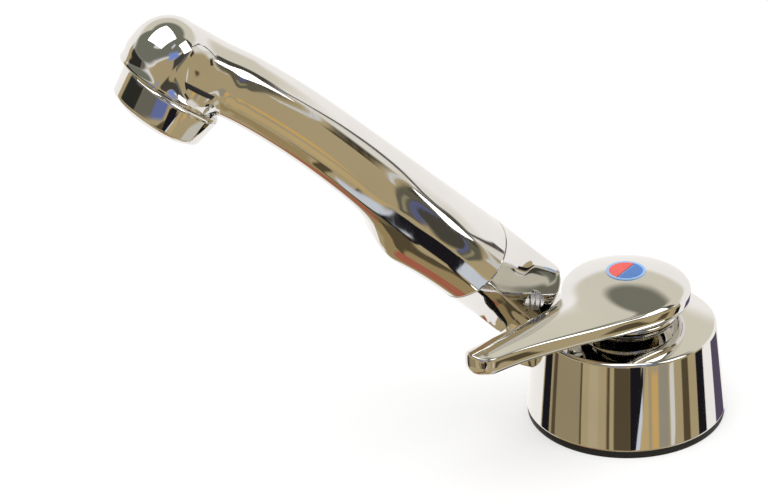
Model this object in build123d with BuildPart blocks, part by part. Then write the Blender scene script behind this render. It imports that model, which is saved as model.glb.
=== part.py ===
from build123d import *
from math import atan2, cos, degrees, hypot, radians, sin, sqrt
import os

# Single-lever mixer tap with a spout that swivels, folds down and rolls about its own axis.
# Millimetres. Z is up, the worktop's face is Z = 0, and the spout points towards -X.

# Body and its foot
body_radius = 25.0
body_top = 27.4
body_bottom = 1.8
body_rim_fillet = 3.0
body_bore_radius = 22.0
body_edge_chamfer = 0.4
seal_radius = 24.6
seal_thickness = 1.5
seal_chamfer = 0.3
seal_bore_play = 0.5

# Swivel between the fixed shank and the body
flange_radius = 21.0
flange_top = 4.5
hub_radius = 16.0
hub_top = 9.5
running_gap = 0.05
slip_ring_thickness = 0.8
shell_floor_top = 8.0
retaining_ring_thickness = 1.2
retaining_ring_width = 3.0
retaining_groove_depth = 0.8
retaining_split = 3.0
o_ring_groove = 1.5
o_ring_cord = 0.68

# Shank, washers and nut under the worktop
shank_radius = 16.0
shank_bore_radius = 12.5
shank_end = -46.0
thread_pitch = 1.5
thread_depth = 0.8
thread_runout = 1.0
thread_unused = 4.0
worktop_thickness = 18.0
rubber_washer_thickness = 2.5
clamp_washer_thickness = 1.5
washer_radius = 27.0
nut_height = 9.0
nut_across_flats = 42.0
nut_chamfer = 2.0

# Inlet tails
tail_radius = 4.0
tail_bore_radius = 2.6
tail_spacing = 13.4
tail_socket_depth = 2.0
cold_tail_end = -75.0
hot_tail_end = -92.0
tail_chamfer = 0.4
tail_insertion = 14.0
tail_bead_rise = 0.6
tail_bead_width = 1.8
tail_seal_offset = 0.4
tail_seal_width = 1.2
tail_seal_depth = 0.6

# Valve core and cartridge
core_bottom = 10.0
core_top = 25.0
cartridge_floor = 14.0
cartridge_radius = 12.5
case_bore_radius = 11.0
seal_sheet = 0.8
case_floor_thickness = 1.0
fixed_disc_thickness = 1.5
moving_disc_radius = 8.6
moving_disc_bottom = 17.33
moving_disc_top = 20.0
port_radius = 2.0
channel_radius = 1.4
outlet_port_reach = 6.5
carrier_bottom = 20.3
carrier_top = 24.9
ball_pocket_play = 0.2
ball_pocket_depth = 2.3
carrier_slot_play = 0.3
carrier_slot_extra = 3.0

# Lever stem and its pivot
lift_pivot_height = 23.0
stem_radius = 3.0
stem_bottom = 20.9
stem_top = 36.0
stem_ball_radius = 1.3
stem_ball_height = 19.2
stem_waist = 0.3
stem_pin_radius = 0.9
stem_pin_length = 19.0

# Neck and lever
neck_bore_radius = 8.2
neck_radius = 12.0
neck_top = 30.0
collar_lift = 0.6
collar_wall = 2.4
collar_lip = 0.4
collar_lip_height = 0.6
cap_radius = 16.5
cap_rim_bottom = 31.0
cap_rim_top = 35.5
cap_top = 40.0
cap_cavity_radius = 14.2
cap_cavity_top = 35.0
handle_azimuth = 27.0
handle_tip_radius = 4.7
handle_tip_reach = 52.2
handle_tip_offset = 0.8
handle_root_height = 36.6
handle_tip_height = 39.4
handle_root_thickness = 4.6
handle_tip_thickness = 5.6
indicator_radius = 5.0
indicator_depth = 0.9
indicator_sink = 0.3

# Fold hinge of the spout, seen in the vertical plane of the spout
hinge_reach = 26.5
hinge_height = 39.0
spout_rise = 48.9
tongue_radius = 8.5
tongue_corner = 4.2
tongue_corner_reach = 4.7
tongue_half_width = 4.0
hinge_gap = 0.25
post_width = 7.0
post_radius = 7.0
post_shoulder = 2.0
post_inner_reach = 6.0
post_root = 6.0
post_outline = [(4.6, -10.0), (2.6, -21.0), (-2.6, -25.0), (-6.0, -25.0)]
pin_radius = 4.0
pin_bore_radius = 2.2
pin_shoulder = 3.0
pin_nose_radius = 2.5
pin_nose_end = 6.0
pin_rib_pitch = 1.3
pin_rib_width = 0.55
pin_rib_depth = 0.5
hinge_cap_radius = 5.6
hinge_cap_height = 1.8
hinge_cap_fillet = 1.2

# Spout: straight to the roll seam, then one long bend down to the head
seam_reach = 19.8
seam_gap = 0.3
bend_radius = 364.0
bend_angle = 14.3
seam_washer_radius = 7.8
spigot_radius = 5.8
spigot_length = 13.0
socket_play = 0.4
water_tube_radius = 5.0
water_tube_bore = 4.0

# Head and aerator
nozzle_tilt = 11.0
head_radius = 11.2
nose_radius = 9.5
nose_reach = 5.6
nose_bottom = 6.6
nose_rounding = 1.6
ring_radius = 12.0
groove_radius = 11.0
groove_width = 0.7
nozzle_drop = 7.4
nozzle_height = 8.2
dome_height = 8.4
nozzle_bore = 10.2
nozzle_bore_depth = 5.0

os.makedirs("parts", exist_ok=True)


def save(piece, name):
    """Labels a finished piece and writes its STEP file."""
    piece.part.label = name
    export_step(piece.part, f"parts/{name}.step")


# Directions and planes of the spout
rise = radians(spout_rise)
along = Vector(-cos(rise), 0, sin(rise))
above = Vector(sin(rise), 0, cos(rise))
hinge_point = Vector(-hinge_reach, 0, hinge_height)
spout_side = Plane(origin=hinge_point, x_dir=along, z_dir=(0, 1, 0))
vertical_side = Plane(origin=hinge_point, x_dir=(-1, 0, 0), z_dir=(0, 1, 0))


def centre_line(reach):
    """Point and direction of the spout's centre line at a distance from the hinge."""
    if reach <= seam_reach:
        return hinge_point + along * reach, along
    turn = (reach - seam_reach) / bend_radius
    point = hinge_point + along * (seam_reach + bend_radius * sin(turn))
    point = point - above * (bend_radius * (1 - cos(turn)))
    return point, along * cos(turn) - above * sin(turn)


def spout_section(reach):
    """Plane across the spout, with its X towards the viewer's side and its Y upwards."""
    point, direction = centre_line(reach)
    return Plane(origin=point, x_dir=(0, -1, 0), z_dir=direction)


spout_length = seam_reach + bend_radius * radians(bend_angle)
head_point = centre_line(spout_length)[0]
nozzle_angle = rise - radians(nozzle_tilt)
nozzle_down = Vector(-sin(nozzle_angle), 0, -cos(nozzle_angle))
nozzle_forward = Vector(-cos(nozzle_angle), 0, sin(nozzle_angle))
nozzle_plane = Plane(origin=head_point, x_dir=(0, -1, 0), z_dir=nozzle_down)

# Directions of the lever
azimuth = radians(handle_azimuth)
handle_direction = Vector(-cos(azimuth), -sin(azimuth), 0)
lift_axis = Vector(-sin(azimuth), cos(azimuth), 0)
handle_plan = Plane(origin=(0, 0, 0), x_dir=handle_direction, z_dir=(0, 0, 1))
lever_side = Plane(origin=(0, 0, 0), x_dir=handle_direction, z_dir=handle_direction.cross(Vector(0, 0, 1)))

# Black seal ring under the tap
with BuildPart() as deck_seal:
    with BuildSketch(Plane.XY):
        Circle(seal_radius)
        Circle(shank_radius + seal_bore_play, mode=Mode.SUBTRACT)
    extrude(amount=seal_thickness)
    chamfer(deck_seal.edges().filter_by(GeomType.CIRCLE).sort_by(SortBy.RADIUS)[-2:], seal_chamfer)
save(deck_seal, "deck_seal")

# Hollow shank with its foot flange, the journal for the swivel and the thread as ring grooves
groove_inner = hub_radius - retaining_groove_depth
retaining_bottom = shell_floor_top + running_gap
retaining_top = retaining_bottom + retaining_ring_thickness
thread_count = int((abs(shank_end) - thread_unused) / thread_pitch)
with BuildPart() as mounting_shank:
    with BuildSketch(Plane.XZ):
        with BuildLine():
            outline = [(shank_bore_radius, shank_end), (shank_radius - thread_depth, shank_end)]
            for turn in range(thread_count):
                crest = shank_end + thread_runout + turn * thread_pitch
                outline.append((shank_radius - thread_depth, crest))
                outline.append((shank_radius, crest + thread_pitch / 2))
            outline += [
                (shank_radius - thread_depth, shank_end + thread_runout + thread_count * thread_pitch),
                (shank_radius - thread_depth, seal_thickness),
                (flange_radius, seal_thickness),
                (flange_radius, flange_top),
                (hub_radius, flange_top),
                (hub_radius, retaining_bottom),
                (groove_inner, retaining_bottom),
                (groove_inner, retaining_top),
                (hub_radius, retaining_top),
                (hub_radius, hub_top),
                (shank_bore_radius, hub_top),
            ]
            Polyline(*outline, close=True)
        make_face()
    revolve(axis=Axis.Z)
save(mounting_shank, "mounting_shank")

with BuildPart() as swivel_slip_ring:
    with BuildSketch(Plane.XY.offset(flange_top)):
        Circle(flange_radius)
        Circle(hub_radius, mode=Mode.SUBTRACT)
    extrude(amount=slip_ring_thickness)
save(swivel_slip_ring, "swivel_slip_ring")

# Split ring that keeps the body on the shank
with BuildPart() as swivel_retaining_ring:
    with BuildSketch(Plane.XY.offset(retaining_bottom)):
        Circle(hub_radius + retaining_ring_width)
        Circle(groove_inner, mode=Mode.SUBTRACT)
    extrude(amount=retaining_top - retaining_bottom)
    with BuildSketch(Plane.XY.offset(retaining_bottom)):
        with Locations((hub_radius + retaining_ring_width / 3, 0)):
            Rectangle(2 * retaining_ring_width, retaining_split)
    extrude(amount=retaining_top - retaining_bottom, mode=Mode.SUBTRACT)
save(swivel_retaining_ring, "swivel_retaining_ring")

washer_top = -worktop_thickness
clamp_top = washer_top - rubber_washer_thickness
nut_top = clamp_top - clamp_washer_thickness
with BuildPart() as worktop_rubber_washer:
    with BuildSketch(Plane.XY.offset(clamp_top)):
        Circle(washer_radius - 1.0)
        Circle(shank_radius, mode=Mode.SUBTRACT)
    extrude(amount=washer_top - clamp_top)
save(worktop_rubber_washer, "worktop_rubber_washer")

with BuildPart() as clamp_washer:
    with BuildSketch(Plane.XY.offset(nut_top)):
        Circle(washer_radius)
        Circle(shank_radius, mode=Mode.SUBTRACT)
    extrude(amount=clamp_top - nut_top)
save(clamp_washer, "clamp_washer")

with BuildPart() as fixing_nut:
    with BuildSketch(Plane.XY.offset(nut_top)):
        RegularPolygon(nut_across_flats / 2, 6, major_radius=False)
        Circle(shank_radius, mode=Mode.SUBTRACT)
    extrude(amount=-nut_height)
    with BuildSketch(Plane.XZ):
        with BuildLine():
            corner = nut_across_flats / sqrt(3)
            Polyline((corner - nut_chamfer, nut_top - nut_height), (corner + 1.0, nut_top - nut_height),
                     (corner + 1.0, nut_top - nut_height + nut_chamfer), close=True)
        make_face()
    revolve(axis=Axis.Z, mode=Mode.SUBTRACT)
save(fixing_nut, "fixing_nut")

# Chrome body shell: a round cup, open below, with the post of the fold hinge at its upper edge
shell_floor_bottom = flange_top + slip_ring_thickness + running_gap
shell_top_thickness = body_top - core_top
neck_hole_radius = 13.0
o_ring_height = (shell_floor_bottom + shell_floor_top) / 2
post_near = tongue_half_width + hinge_gap
post_plane = vertical_side.offset(post_near)
post_inner = (-post_inner_reach, body_top - hinge_height - post_root)
channel_height = 20.0
post_centre = post_near + post_width / 2
bearing_angle = atan2(post_centre, -hinge_reach)
bearing = Vector(cos(bearing_angle), sin(bearing_angle), 0)
with BuildPart() as body_shell:
    with BuildSketch():
        Circle(body_radius)
    extrude(amount=body_top)
    with BuildSketch():
        Circle(body_radius + 1)
    extrude(amount=body_bottom, mode=Mode.SUBTRACT)
    fillet(body_shell.faces().sort_by(Axis.Z)[-1].edges(), body_rim_fillet)
    chamfer(body_shell.faces().sort_by(Axis.Z)[0].edges(), body_edge_chamfer)
    with BuildSketch(post_plane):
        with BuildLine():
            Polyline(post_inner, (-post_inner_reach, body_top - hinge_height),
                     (-post_radius, -post_shoulder), (-post_radius, 0))
            ThreePointArc((-post_radius, 0), (0, post_radius), (post_radius, 0))
            Polyline((post_radius, 0), *post_outline, post_inner)
        make_face()
    extrude(amount=post_width)
    with BuildSketch(Plane.XY.offset(body_bottom)):
        Circle(flange_radius + 0.5)
    extrude(amount=shell_floor_bottom - body_bottom, mode=Mode.SUBTRACT)
    with BuildSketch(Plane.XY.offset(shell_floor_bottom)):
        Circle(hub_radius + running_gap)
    extrude(amount=shell_floor_top - shell_floor_bottom, mode=Mode.SUBTRACT)
    with BuildSketch(Plane.XY.offset(o_ring_height - o_ring_groove / 2)):
        Circle(hub_radius + o_ring_groove)
    extrude(amount=o_ring_groove, mode=Mode.SUBTRACT)
    with BuildSketch(Plane.XY.offset(shell_floor_top)):
        Circle(body_bore_radius)
    extrude(amount=core_top - shell_floor_top, mode=Mode.SUBTRACT)
    with BuildSketch(Plane.XY.offset(core_top)):
        Circle(neck_hole_radius)
    extrude(amount=shell_top_thickness, mode=Mode.SUBTRACT)
    with BuildSketch(post_plane):
        Circle(pin_radius)
    extrude(amount=post_width, mode=Mode.SUBTRACT)
    with BuildSketch(Plane((-hinge_reach, post_centre, channel_height))):
        Circle(channel_radius)
    extrude(amount=hinge_height - channel_height, mode=Mode.SUBTRACT)
    with BuildSketch(Plane(origin=(0, 0, channel_height), z_dir=bearing)):
        Circle(channel_radius)
    extrude(amount=hypot(hinge_reach, post_centre), mode=Mode.SUBTRACT)
save(body_shell, "body_shell")

# Rubber ring of the swivel, in the groove of the shell's floor
with BuildPart() as swivel_o_ring:
    with BuildSketch(Plane.XZ):
        with Locations((hub_radius + o_ring_groove / 2 + running_gap, o_ring_height)):
            Circle(o_ring_cord)
    revolve(axis=Axis.Z)
save(swivel_o_ring, "swivel_o_ring")

# Brass core with the cartridge seat, the two inlet ports and the drilled outlet way
outlet_reach = 17.4
outlet_floor = 12.0
outlet_spot = bearing * outlet_port_reach
outlet_port = (outlet_spot.X, outlet_spot.Y)
rise_spot = bearing * outlet_reach
tail_spots = [(0, tail_spacing / 2), (0, -tail_spacing / 2)]
with BuildPart() as valve_core:
    with BuildSketch(Plane.XY.offset(core_bottom)):
        Circle(body_bore_radius)
    extrude(amount=core_top - core_bottom)
    with BuildSketch(Plane.XY.offset(cartridge_floor)):
        Circle(cartridge_radius)
    extrude(amount=core_top - cartridge_floor, mode=Mode.SUBTRACT)
    with BuildSketch(Plane.XY.offset(core_bottom)):
        with Locations(*tail_spots):
            Circle(tail_radius)
    extrude(amount=tail_socket_depth, mode=Mode.SUBTRACT)
    with BuildSketch(Plane.XY.offset(core_bottom)):
        with Locations(*tail_spots):
            Circle(port_radius)
    extrude(amount=cartridge_floor - core_bottom, mode=Mode.SUBTRACT)
    with BuildSketch(Plane.XY.offset(outlet_floor)):
        with Locations(outlet_port):
            Circle(channel_radius)
    extrude(amount=cartridge_floor - outlet_floor, mode=Mode.SUBTRACT)
    for level, start, end in ((outlet_floor, outlet_port_reach, outlet_reach),
                              (channel_height, outlet_reach, body_radius)):
        with BuildSketch(Plane(origin=bearing * start + Vector(0, 0, level), z_dir=bearing)):
            Circle(channel_radius)
        extrude(amount=end - start, mode=Mode.SUBTRACT)
    with BuildSketch(Plane((rise_spot.X, rise_spot.Y, outlet_floor))):
        Circle(channel_radius)
    extrude(amount=channel_height - outlet_floor, mode=Mode.SUBTRACT)
save(valve_core, "valve_core")


def inlet_tail(side, end, name):
    """Copper tail up through the shank into the core, with a rolled bead that stops the coupling."""
    bead_low = end + tail_chamfer + tail_insertion
    with BuildPart() as tail:
        with BuildSketch(Plane((0, side * tail_spacing / 2, end))):
            Circle(tail_radius)
        extrude(amount=core_bottom + tail_socket_depth - end)
        with BuildSketch(Plane(origin=(0, side * tail_spacing / 2, 0), x_dir=(1, 0, 0), z_dir=(0, -1, 0))):
            with BuildLine():
                Polyline((tail_bore_radius, bead_low), (tail_radius, bead_low),
                         (tail_radius + tail_bead_rise, bead_low + tail_bead_rise),
                         (tail_radius + tail_bead_rise, bead_low + tail_bead_width - tail_bead_rise),
                         (tail_radius, bead_low + tail_bead_width),
                         (tail_bore_radius, bead_low + tail_bead_width), close=True)
            make_face()
        revolve(axis=Axis((0, side * tail_spacing / 2, 0), (0, 0, 1)))
        with BuildSketch(Plane((0, side * tail_spacing / 2, core_bottom + tail_seal_offset))):
            Circle(tail_radius)
            Circle(tail_radius - tail_seal_depth, mode=Mode.SUBTRACT)
        extrude(amount=tail_seal_width, mode=Mode.SUBTRACT)
        with BuildSketch(Plane((0, side * tail_spacing / 2, end))):
            Circle(tail_bore_radius)
        extrude(amount=core_bottom + tail_socket_depth - end, mode=Mode.SUBTRACT)
        chamfer(tail.faces().sort_by(Axis.Z)[0].edges(), tail_chamfer)
    save(tail, name)


inlet_tail(1, cold_tail_end, "cold_inlet_tail")
inlet_tail(-1, hot_tail_end, "hot_inlet_tail")

with BuildPart() as inlet_o_rings:
    with BuildSketch(Plane.XY.offset(core_bottom + tail_seal_offset)):
        with Locations(*tail_spots):
            Circle(tail_radius)
            Circle(tail_radius - tail_seal_depth, mode=Mode.SUBTRACT)
    extrude(amount=tail_seal_width)
save(inlet_o_rings, "inlet_o_rings")

# Cartridge: base seal, case, fixed disc, moving disc and the carrier that turns with the lever
case_floor = cartridge_floor + seal_sheet
fixed_disc_bottom = case_floor + case_floor_thickness


def port_holes(height):
    """The two inlet ports and the outlet port of a cartridge piece, at one height."""
    with BuildSketch(Plane.XY.offset(height)) as holes:
        with Locations(*tail_spots, outlet_port):
            Circle(port_radius)
    return holes.sketch


with BuildPart() as cartridge_base_seals:
    with BuildSketch(Plane.XY.offset(cartridge_floor)):
        Circle(cartridge_radius)
    extrude(amount=case_floor - cartridge_floor)
    extrude(port_holes(cartridge_floor), amount=seal_sheet, mode=Mode.SUBTRACT)
save(cartridge_base_seals, "cartridge_base_seals")

with BuildPart() as cartridge_case:
    with BuildSketch(Plane.XY.offset(case_floor)):
        Circle(cartridge_radius)
    extrude(amount=core_top - case_floor)
    with BuildSketch(Plane.XY.offset(fixed_disc_bottom)):
        Circle(case_bore_radius)
    extrude(amount=core_top - fixed_disc_bottom, mode=Mode.SUBTRACT)
    extrude(port_holes(case_floor), amount=case_floor_thickness, mode=Mode.SUBTRACT)
save(cartridge_case, "cartridge_case")

with BuildPart() as fixed_ceramic_disc:
    with BuildSketch(Plane.XY.offset(fixed_disc_bottom)):
        Circle(case_bore_radius)
    extrude(amount=fixed_disc_thickness)
    extrude(port_holes(fixed_disc_bottom), amount=fixed_disc_thickness, mode=Mode.SUBTRACT)
save(fixed_ceramic_disc, "fixed_ceramic_disc")

ball_pocket = 2 * stem_ball_radius + ball_pocket_play
with BuildPart() as moving_ceramic_disc:
    with BuildSketch(Plane.XY.offset(moving_disc_bottom)):
        Circle(moving_disc_radius)
    extrude(amount=moving_disc_top - moving_disc_bottom)
    with BuildSketch(handle_plan.offset(moving_disc_top)):
        Rectangle(ball_pocket, ball_pocket)
    extrude(amount=-ball_pocket_depth, mode=Mode.SUBTRACT)
save(moving_ceramic_disc, "moving_ceramic_disc")

stem_pin_plane = Plane(origin=Vector(0, 0, lift_pivot_height), z_dir=lift_axis)
with BuildPart() as mix_carrier:
    with BuildSketch(Plane.XY.offset(carrier_bottom)):
        Circle(case_bore_radius - running_gap)
    extrude(amount=carrier_top - carrier_bottom)
    with BuildSketch(handle_plan.offset(carrier_bottom)):
        Rectangle(2 * stem_radius + carrier_slot_extra, 2 * stem_radius + carrier_slot_play)
    extrude(amount=carrier_top - carrier_bottom, mode=Mode.SUBTRACT)
    with BuildSketch(stem_pin_plane):
        Circle(stem_pin_radius)
    extrude(amount=stem_pin_length / 2, both=True, mode=Mode.SUBTRACT)
save(mix_carrier, "mix_carrier")

with BuildPart() as stem_pin:
    with BuildSketch(stem_pin_plane):
        Circle(stem_pin_radius)
    extrude(amount=stem_pin_length / 2, both=True)
save(stem_pin, "stem_pin")

collar_bottom = body_top + collar_lift
with BuildPart() as cartridge_clamp_nut:
    with BuildSketch(Plane.XY.offset(core_top)):
        Circle(neck_hole_radius)
        Circle(neck_bore_radius, mode=Mode.SUBTRACT)
    extrude(amount=collar_bottom - core_top)
    with BuildSketch(Plane.XY.offset(collar_bottom)):
        Circle(neck_radius - collar_wall)
        Circle(neck_bore_radius, mode=Mode.SUBTRACT)
    extrude(amount=neck_top + 2 * collar_lift - collar_bottom)
save(cartridge_clamp_nut, "cartridge_clamp_nut")

with BuildPart() as neck_collar:
    with BuildSketch(Plane.XZ):
        with BuildLine():
            Polyline((neck_radius - collar_wall, collar_bottom), (neck_radius + collar_lip, collar_bottom),
                     (neck_radius + collar_lip, collar_bottom + collar_lip_height),
                     (neck_radius, collar_bottom + collar_lip_height), (neck_radius, neck_top - collar_lip),
                     (neck_radius - collar_lip, neck_top), (neck_radius - collar_wall, neck_top), close=True)
        make_face()
    revolve(axis=Axis.Z)
save(neck_collar, "neck_collar")

# Lever stem: driven square at the top, cross hole for its pin, ball end in the moving disc
with BuildPart() as lever_stem:
    with BuildSketch(Plane.XY.offset(stem_bottom)):
        Circle(stem_radius)
    extrude(amount=stem_top - stem_bottom)
    with BuildSketch(Plane.XY.offset(stem_ball_height)):
        Circle(stem_ball_radius - stem_waist)
    extrude(amount=stem_bottom - stem_ball_height)
    with Locations((0, 0, stem_ball_height)):
        Sphere(stem_ball_radius)
    with BuildSketch(stem_pin_plane):
        Circle(stem_pin_radius + running_gap)
    extrude(amount=stem_radius + 1, both=True, mode=Mode.SUBTRACT)
save(lever_stem, "lever_stem")

# Lever: domed cap over the neck and a long tapering handle that rises towards its tip
dome_rise = cap_top - cap_rim_top
handle_root = 9.0
handle_root_far = -13.0
handle_root_near = 13.8
handle_far = [(16.4, -6.6), (27.0, -4.4), (42.0, -3.7)]
handle_near = [(43.6, 6.6), (25.0, 11.2)]
handle_end = handle_tip_reach + handle_tip_radius
tip_far = (handle_tip_reach, handle_tip_offset - handle_tip_radius)
tip_near = (handle_tip_reach, handle_tip_offset + handle_tip_radius)
grub_radius = 1.5
grub_height = stem_top - 2.0
indicator_seat = cap_top - indicator_depth
stem_boss_radius = 6.0
boss_bottom = 32.0
boss_play = 0.1
cap_under = 1.5
handle_rounding = 1.4
handle_reserve = 30.0
shoulder = (cap_radius * 0.6, cap_top - dome_rise * 0.33)
dome_edge = (cap_radius - 1.3, cap_rim_top + 0.7)
rim_low = (cap_radius - 1.2, cap_rim_bottom)
rim_low_middle = (cap_radius - 0.3, cap_rim_bottom + 1.2)
rim_low_end = (cap_radius, cap_rim_bottom + 2.6)
rim_high = (cap_radius, cap_rim_top - 1.0)
rim_high_middle = (cap_radius - 0.4, cap_rim_top + 0.1)
with BuildPart() as handle_blank:
    with BuildSketch(handle_plan.offset(cap_rim_bottom)):
        with BuildLine():
            Spline((handle_root, handle_root_far), *handle_far, tip_far)
            ThreePointArc(tip_far, (handle_end, handle_tip_offset), tip_near)
            Spline(tip_near, *handle_near, (handle_root, handle_root_near))
            Line((handle_root, handle_root_near), (handle_root, handle_root_far))
        make_face()
    extrude(amount=cap_top - cap_rim_bottom)
    with BuildSketch(lever_side):
        with BuildLine():
            Polyline((0, handle_root_height - handle_root_thickness), (0, handle_root_height),
                     (handle_end, handle_tip_height), (handle_end, handle_tip_height - handle_tip_thickness),
                     close=True)
        make_face()
    extrude(amount=handle_reserve, both=True, mode=Mode.INTERSECT)
    fillet(handle_blank.faces().sort_by(Axis.Z)[-1].edges(), handle_rounding)

with BuildPart() as lever:
    with BuildSketch(Plane.XZ):
        with BuildLine():
            Line((0, cap_rim_bottom), rim_low)
            ThreePointArc(rim_low, rim_low_middle, rim_low_end)
            Line(rim_low_end, rim_high)
            ThreePointArc(rim_high, rim_high_middle, dome_edge)
            ThreePointArc(dome_edge, shoulder, (0, cap_top))
            Line((0, cap_top), (0, cap_rim_bottom))
        make_face()
    revolve(axis=Axis.Z)
    add(handle_blank.part)
    with BuildSketch(Plane.XY.offset(cap_rim_bottom - cap_under)):
        Circle(cap_cavity_radius)
        Circle(stem_boss_radius, mode=Mode.SUBTRACT)
    extrude(amount=cap_cavity_top - cap_rim_bottom + cap_under, mode=Mode.SUBTRACT)
    with BuildSketch(Plane.XY.offset(cap_rim_bottom - cap_under)):
        Circle(stem_boss_radius + boss_play)
    extrude(amount=boss_bottom - cap_rim_bottom + cap_under, mode=Mode.SUBTRACT)
    with BuildSketch(Plane.XY.offset(cap_rim_bottom)):
        Circle(stem_radius)
    extrude(amount=stem_top - cap_rim_bottom, mode=Mode.SUBTRACT)
    with BuildSketch(Plane.XY.offset(indicator_seat)):
        Circle(indicator_radius)
    extrude(amount=2 * indicator_depth, mode=Mode.SUBTRACT)
    with BuildSketch(Plane(origin=(0, 0, grub_height), z_dir=-handle_direction)):
        Circle(grub_radius)
    extrude(amount=cap_radius + 1, mode=Mode.SUBTRACT)
save(lever, "lever")

with BuildPart() as lever_grub_screw:
    with BuildSketch(Plane(origin=-handle_direction * stem_radius + Vector(0, 0, grub_height),
                           z_dir=-handle_direction)):
        Circle(grub_radius)
        RegularPolygon(grub_radius / 2, 6, mode=Mode.SUBTRACT)
    extrude(amount=stem_boss_radius - stem_radius)
save(lever_grub_screw, "lever_grub_screw")

# Round indicator: a rim plate with two inlaid halves and a bare stripe between them
plate_top = cap_top - indicator_sink
inlay_thickness = 0.3
inlay_radius = indicator_radius - 0.7
stripe_half_width = 0.3
stripe_bearing = radians(38.0)
with BuildPart() as indicator_plate:
    with BuildSketch(Plane.XY.offset(indicator_seat)):
        Circle(indicator_radius)
    extrude(amount=plate_top - indicator_seat)
    with BuildSketch(Plane.XY.offset(plate_top - inlay_thickness)):
        Circle(inlay_radius)
    extrude(amount=inlay_thickness, mode=Mode.SUBTRACT)
save(indicator_plate, "indicator_plate")


def indicator_half(side, name):
    """One inlaid half of the indicator, beside the diagonal stripe."""
    with BuildPart() as half:
        stripe_plane = Plane(origin=(0, 0, plate_top - inlay_thickness),
                             x_dir=(cos(stripe_bearing), sin(stripe_bearing), 0))
        with BuildSketch(stripe_plane):
            Circle(inlay_radius)
            with Locations((0, -side * (indicator_radius - stripe_half_width))):
                Rectangle(2 * indicator_radius, 2 * indicator_radius, mode=Mode.SUBTRACT)
        extrude(amount=inlay_thickness)
    save(half, name)


indicator_half(1, "indicator_red")
indicator_half(-1, "indicator_blue")

# Fold hinge: hollow pin pushed in through the post, with a ribbed nose in the tongue's near side
pin_far = post_near + post_width
seal_offset = 1.9
seal_width = 0.9
seal_reach = pin_radius + 1.2
pin_groove_depth = 0.8
pin_groove_inset = 0.3
nose_hole_reserve = 2.0
with BuildPart() as hinge_pin:
    with BuildSketch(vertical_side.offset(-pin_shoulder)):
        Circle(pin_radius)
    extrude(amount=pin_shoulder + pin_far)
    with BuildSketch(vertical_side.offset(-pin_nose_end)):
        Circle(pin_nose_radius)
    extrude(amount=pin_nose_end - pin_shoulder)
    with BuildSketch(vertical_side.offset(pin_far)):
        Circle(pin_bore_radius)
    extrude(amount=-(pin_far + channel_radius), mode=Mode.SUBTRACT)
    with BuildSketch(vertical_side.offset(pin_groove_inset - channel_radius)):
        Circle(pin_radius)
        Circle(pin_radius - pin_groove_depth, mode=Mode.SUBTRACT)
    extrude(amount=2 * (channel_radius - pin_groove_inset), mode=Mode.SUBTRACT)
    with BuildSketch(Plane(origin=hinge_point, z_dir=along)):
        Circle(channel_radius - pin_groove_inset)
    extrude(amount=pin_radius, mode=Mode.SUBTRACT)
    with BuildSketch(Plane((-hinge_reach, post_centre, hinge_height))):
        Circle(channel_radius)
    extrude(amount=-pin_radius, mode=Mode.SUBTRACT)
    with BuildSketch(vertical_side.offset(-pin_nose_end)):
        with GridLocations(pin_rib_pitch, 0, 3, 1):
            Rectangle(pin_rib_width, 2 * pin_nose_radius)
    extrude(amount=pin_rib_depth, mode=Mode.SUBTRACT)
save(hinge_pin, "hinge_pin")

with BuildPart() as hinge_cap:
    with BuildSketch(vertical_side.offset(pin_far)):
        Circle(hinge_cap_radius)
    extrude(amount=hinge_cap_height)
    fillet(hinge_cap.faces().sort_by(Axis.Y)[-1].edges(), hinge_cap_fillet)
save(hinge_cap, "hinge_cap")


def hull_section(reach, top, depth, near, far):
    """Section across the spout: oval top, then a crease, a flank and the keel on each side."""
    drop = near[1]
    middle = (near[0] - far[0]) / 2
    with BuildSketch(spout_section(reach)) as section:
        with BuildLine():
            EllipticalCenterArc((middle, -drop), (near[0] + far[0]) / 2, top + drop, arc_size=180)
            Polyline((-far[0], -drop), (-far[2], -far[3]), (-far[4], -far[5]), (-far[6], -depth),
                     (near[6], -depth), (near[4], -near[5]), (near[2], -near[3]), (near[0], -drop))
        make_face()
    return section.sketch


# Sides of the sections: widest point out and down, crease out and down, flank out and down, keel out
seam_side = (15.3, 2.2, 14.5, 6.2, 10.4, 11.2, 4.0)
far_flat = (4.0, 4.4, 3.95, 5.7, 3.8, 9.9, 3.4)
# Front of the spout: distance from the hinge, top, depth and side
hull_stations = [
    (seam_reach, 8.5, 13.4, seam_side),
    (29.0, 7.5, 14.1, (14.0, 2.4, 13.2, 6.3, 9.9, 11.4, 4.2)),
    (39.0, 7.0, 15.0, (12.1, 3.3, 11.5, 6.7, 8.8, 11.8, 4.4)),
    (44.0, 6.8, 13.8, (11.1, 3.6, 10.7, 7.2, 8.3, 11.4, 4.4)),
    (49.0, 6.8, 11.3, (10.3, 4.0, 10.0, 7.7, 7.4, 10.0, 4.3)),
    (54.0, 6.8, 9.9, (9.6, 4.4, 9.2, 8.0, 6.8, 9.2, 4.2)),
    (60.0, 6.8, 9.1, (9.2, 3.8, 8.4, 7.5, 6.2, 8.6, 3.8)),
    (68.0, 7.3, 8.7, (8.8, 2.8, 7.9, 6.7, 5.8, 8.1, 3.4)),
    (76.0, 7.7, 8.1, (8.5, 2.0, 7.3, 5.8, 5.4, 7.4, 3.2)),
    (86.0, 8.0, 7.7, (8.2, 1.2, 6.9, 5.0, 5.0, 6.8, 3.0)),
    (112.6, 8.4, 7.5, (8.1, 1.0, 6.8, 4.9, 4.9, 6.6, 3.0)),
]
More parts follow.
